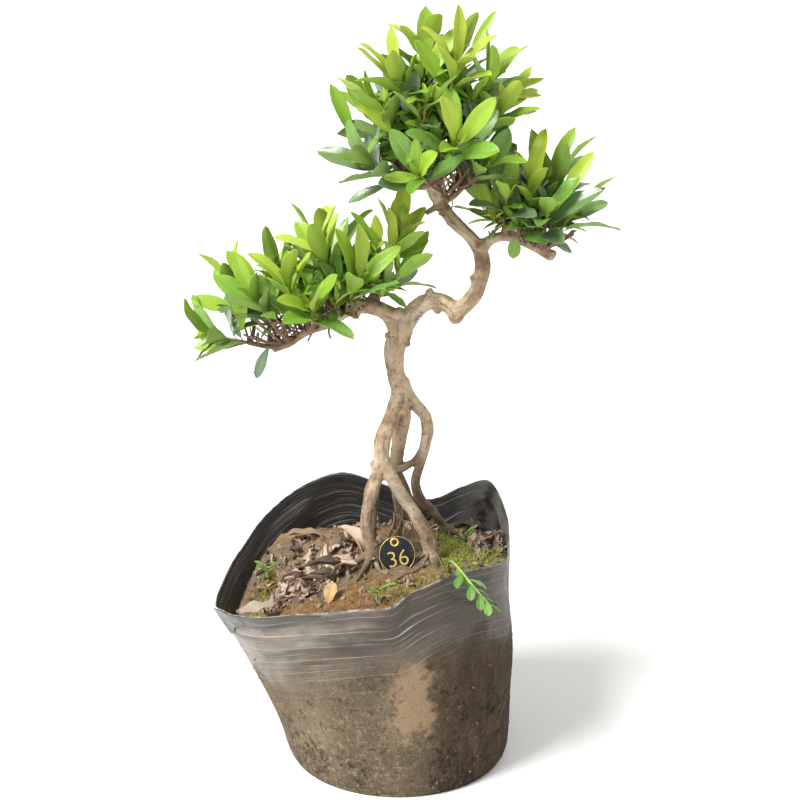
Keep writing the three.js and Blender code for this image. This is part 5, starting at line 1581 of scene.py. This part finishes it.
def makeHerb(name, seed):
    herb, template = herbs[name], makeLeafTemplate("herbLeaf", 6, 10)
    steps = 5 * len(herb["path"])
    line = [[*curvePoint(herb["path"], i / steps), mix(herb["radius"], 0.55, i / steps)] for i in range(steps + 1)]
    pieces = [paint(tubesOf([line], "stem", 2), tint=0.5, stem=1)]
    poses = [(herbPose(herb, seed, i), i, 9) for i in range(2 * herb["pairs"])]
    poses += [(hangingPose(herb, seed, i), i, 19) for i in range(herb.get("hanging", 0))]
    for pose, i, key in poses:
        points = bladePoints(template, pose, seed + i, roundOutline, 0.2, 0.35)
        pieces.append(copied(template, "leaf", points, tint=draw(seed, i, key), stem=0))
    remove(template)
    return joined(pieces, name.replace("_", "") + "Plant")


def herbMaterial():
    w = newMaterial("weed", Roughness=0.45, Specular_IOR_Level=0.4)
    rib = w.math("LESS_THAN", w.ribAndShare()[0], 0.04)
    colour = w.coats(w.blend(w.attribute("tint"), (0.06, 0.17, 0.022), (0.19, 0.32, 0.06)),
                     (w.grain(300) * 0.4, (0.10, 0.28, 0.04)), (rib * 0.4, (0.42, 0.58, 0.22)),
                     (w.attribute("stem"), (0.27, 0.38, 0.09)))
    return w.finished(colour, w.grain(900, 2) + rib * -0.8, 0.0003)


weedFinish = herbMaterial()
for i, name in enumerate(herbs):
    dress(makeHerb(name, 900 + i), "herb", weedFinish, name)


# number tag: a black disc with a gold ring round its hole and a plain number

tagLook = {
    "radius": 12.5, "thickness": 1.4, "hole": 1.7, "holeAt": 8.6, "centre": (-2, -27, 157), "lean": 21, "tilt": 12,
    "edge": 0.25, "ring": 0.55, "rimWire": 0.17, "number": "36", "numberHeight": 11.5, "numberAt": -3.2,
}


def tagPlaced(piece):
    turn = (Matrix.Translation(Vector(tagLook["centre"]) * mm)
            @ Matrix.Rotation(radians(90 - tagLook["lean"]), 4, "X")
            @ Matrix.Rotation(radians(tagLook["tilt"]), 4, "Z"))
    piece.data.transform(turn)
    return piece


def makeTag():
    look = tagLook
    bpy.ops.mesh.primitive_cylinder_add(vertices=96, radius=look["radius"] * mm, depth=look["thickness"] * mm)
    disc = added("tagDisc")
    bpy.ops.mesh.primitive_cylinder_add(vertices=32, radius=look["hole"] * mm, depth=3 * look["thickness"] * mm,
                                        location=(0, look["holeAt"] * mm, 0))
    drill = added("drill")
    modified(disc, "BOOLEAN", object=drill, operation="DIFFERENCE")
    modified(disc, "BEVEL", width=look["edge"] * mm, segments=2, limit_method="ANGLE")
    remove(drill)
    return tagPlaced(disc)


def makeTagRing(name, radius, at, wire):
    bpy.ops.mesh.primitive_torus_add(major_radius=radius * mm, minor_radius=wire * mm, major_segments=64,
                                     minor_segments=8, location=(0, at * mm, 0))
    ring = added(name)
    bpy.ops.object.transform_apply(location=True, rotation=False, scale=False)
    flatter = pointsOf(ring) * vec(1, 1, 0.35) + vec(0, 0, (tagLook["thickness"] / 2 + 0.02) * mm)
    return tagPlaced(movePoints(ring, flatter))


def makeTagNumber():
    look = tagLook
    bpy.ops.object.text_add()
    number = added("tagNumber")
    settings = {"body": look["number"], "size": look["numberHeight"] * mm * 1.35, "align_x": "CENTER",
                "align_y": "CENTER", "extrude": 0.12 * mm, "offset": -0.16 * mm}
    for key, value in settings.items():
        setattr(number.data, key, value)
    bpy.ops.object.convert(target="MESH")
    shift = vec(0, look["numberAt"], look["thickness"] / 2 + 0.05) * mm
    return tagPlaced(movePoints(number, pointsOf(number) + shift))


def tagMaterial():
    w = newMaterial("tagPlastic", Specular_IOR_Level=0.5)
    dirt = w.mottled(120, 700, 2.2).rises(0.55, 0.85)
    return w.finished(w.blend(dirt * 0.3, (0.009, 0.010, 0.013), (0.16, 0.12, 0.08)), w.grain(500), 0.0001, 0.5,
                      Roughness=dirt.rises(0, 1, 0.24, 0.6))


def goldMaterial():
    w = newMaterial("goldFoil", Roughness=0.38, Metallic=0.55)
    worn = w.grain(900, 4, 0.6)
    return w.finished(w.blend(worn.rises(0.4, 0.75), (0.82, 0.60, 0.16), (0.46, 0.33, 0.10)), worn, 0.0001, 0.5)


gold = goldMaterial()
dress(makeTag(), "tag", tagMaterial(), "tag")
dress(makeTagRing("tagHoleRing", tagLook["hole"] + 0.7, tagLook["holeAt"], tagLook["ring"]), "tag", gold)
dress(makeTagRing("tagRimRing", tagLook["radius"] - 0.3, 0, tagLook["rimWire"]), "tag", gold)
dress(makeTagNumber(), "tag", gold)
print("weeds, litter and tag made")


# floor, light and camera

studio = {
    "cameraAt": (0, -1150, 610), "cameraLooksAt": (0, 0, 259.5), "lens": 79.2,
    # where each broad light shines from, its strength and its width in degrees
    "key": ((-1150, -800, 1450), 5.2, 26), "back": ((700, 900, 1100), 1.0, 60),
    "sky": (1.0, 0.99, 0.975), "skyStrength": 0.58,
}


def aimed(piece, at, target):
    piece.location = Vector(at) * mm
    piece.rotation_euler = (Vector(target) - Vector(at)).to_track_quat("-Z", "Y").to_euler()


def makeStudio():
    bpy.ops.mesh.primitive_plane_add(size=40)
    floor = added("floor")
    w = newMaterial("paleFloor", Roughness=0.9, Specular_IOR_Level=0.2)
    floor.data.materials.append(w.finished(w.blend(w.grain(3), (0.88, 0.88, 0.87), (0.90, 0.90, 0.89))))
    for name in ("key", "back"):
        at, strength, width = studio[name]
        data = bpy.data.lights.new(name, "SUN")
        data.energy, data.angle = strength, radians(width)
        aimed(linked(name, data), at, (0, 0, 0))
    world = bpy.data.worlds.new("paleRoom")
    world.use_nodes = True
    sky = world.node_tree.nodes["Background"].inputs
    sky[0].default_value, sky[1].default_value = (*studio["sky"], 1), studio["skyStrength"]
    bpy.context.scene.world = world
    bpy.context.scene.view_settings.view_transform = "Standard"
    camera = linked("camera", bpy.data.cameras.new("camera"))
    camera.data.lens, camera.data.sensor_width = studio["lens"], 36
    aimed(camera, studio["cameraAt"], studio["cameraLooksAt"])
    bpy.context.scene.camera = camera


makeStudio()
bpy.context.view_layer.update()
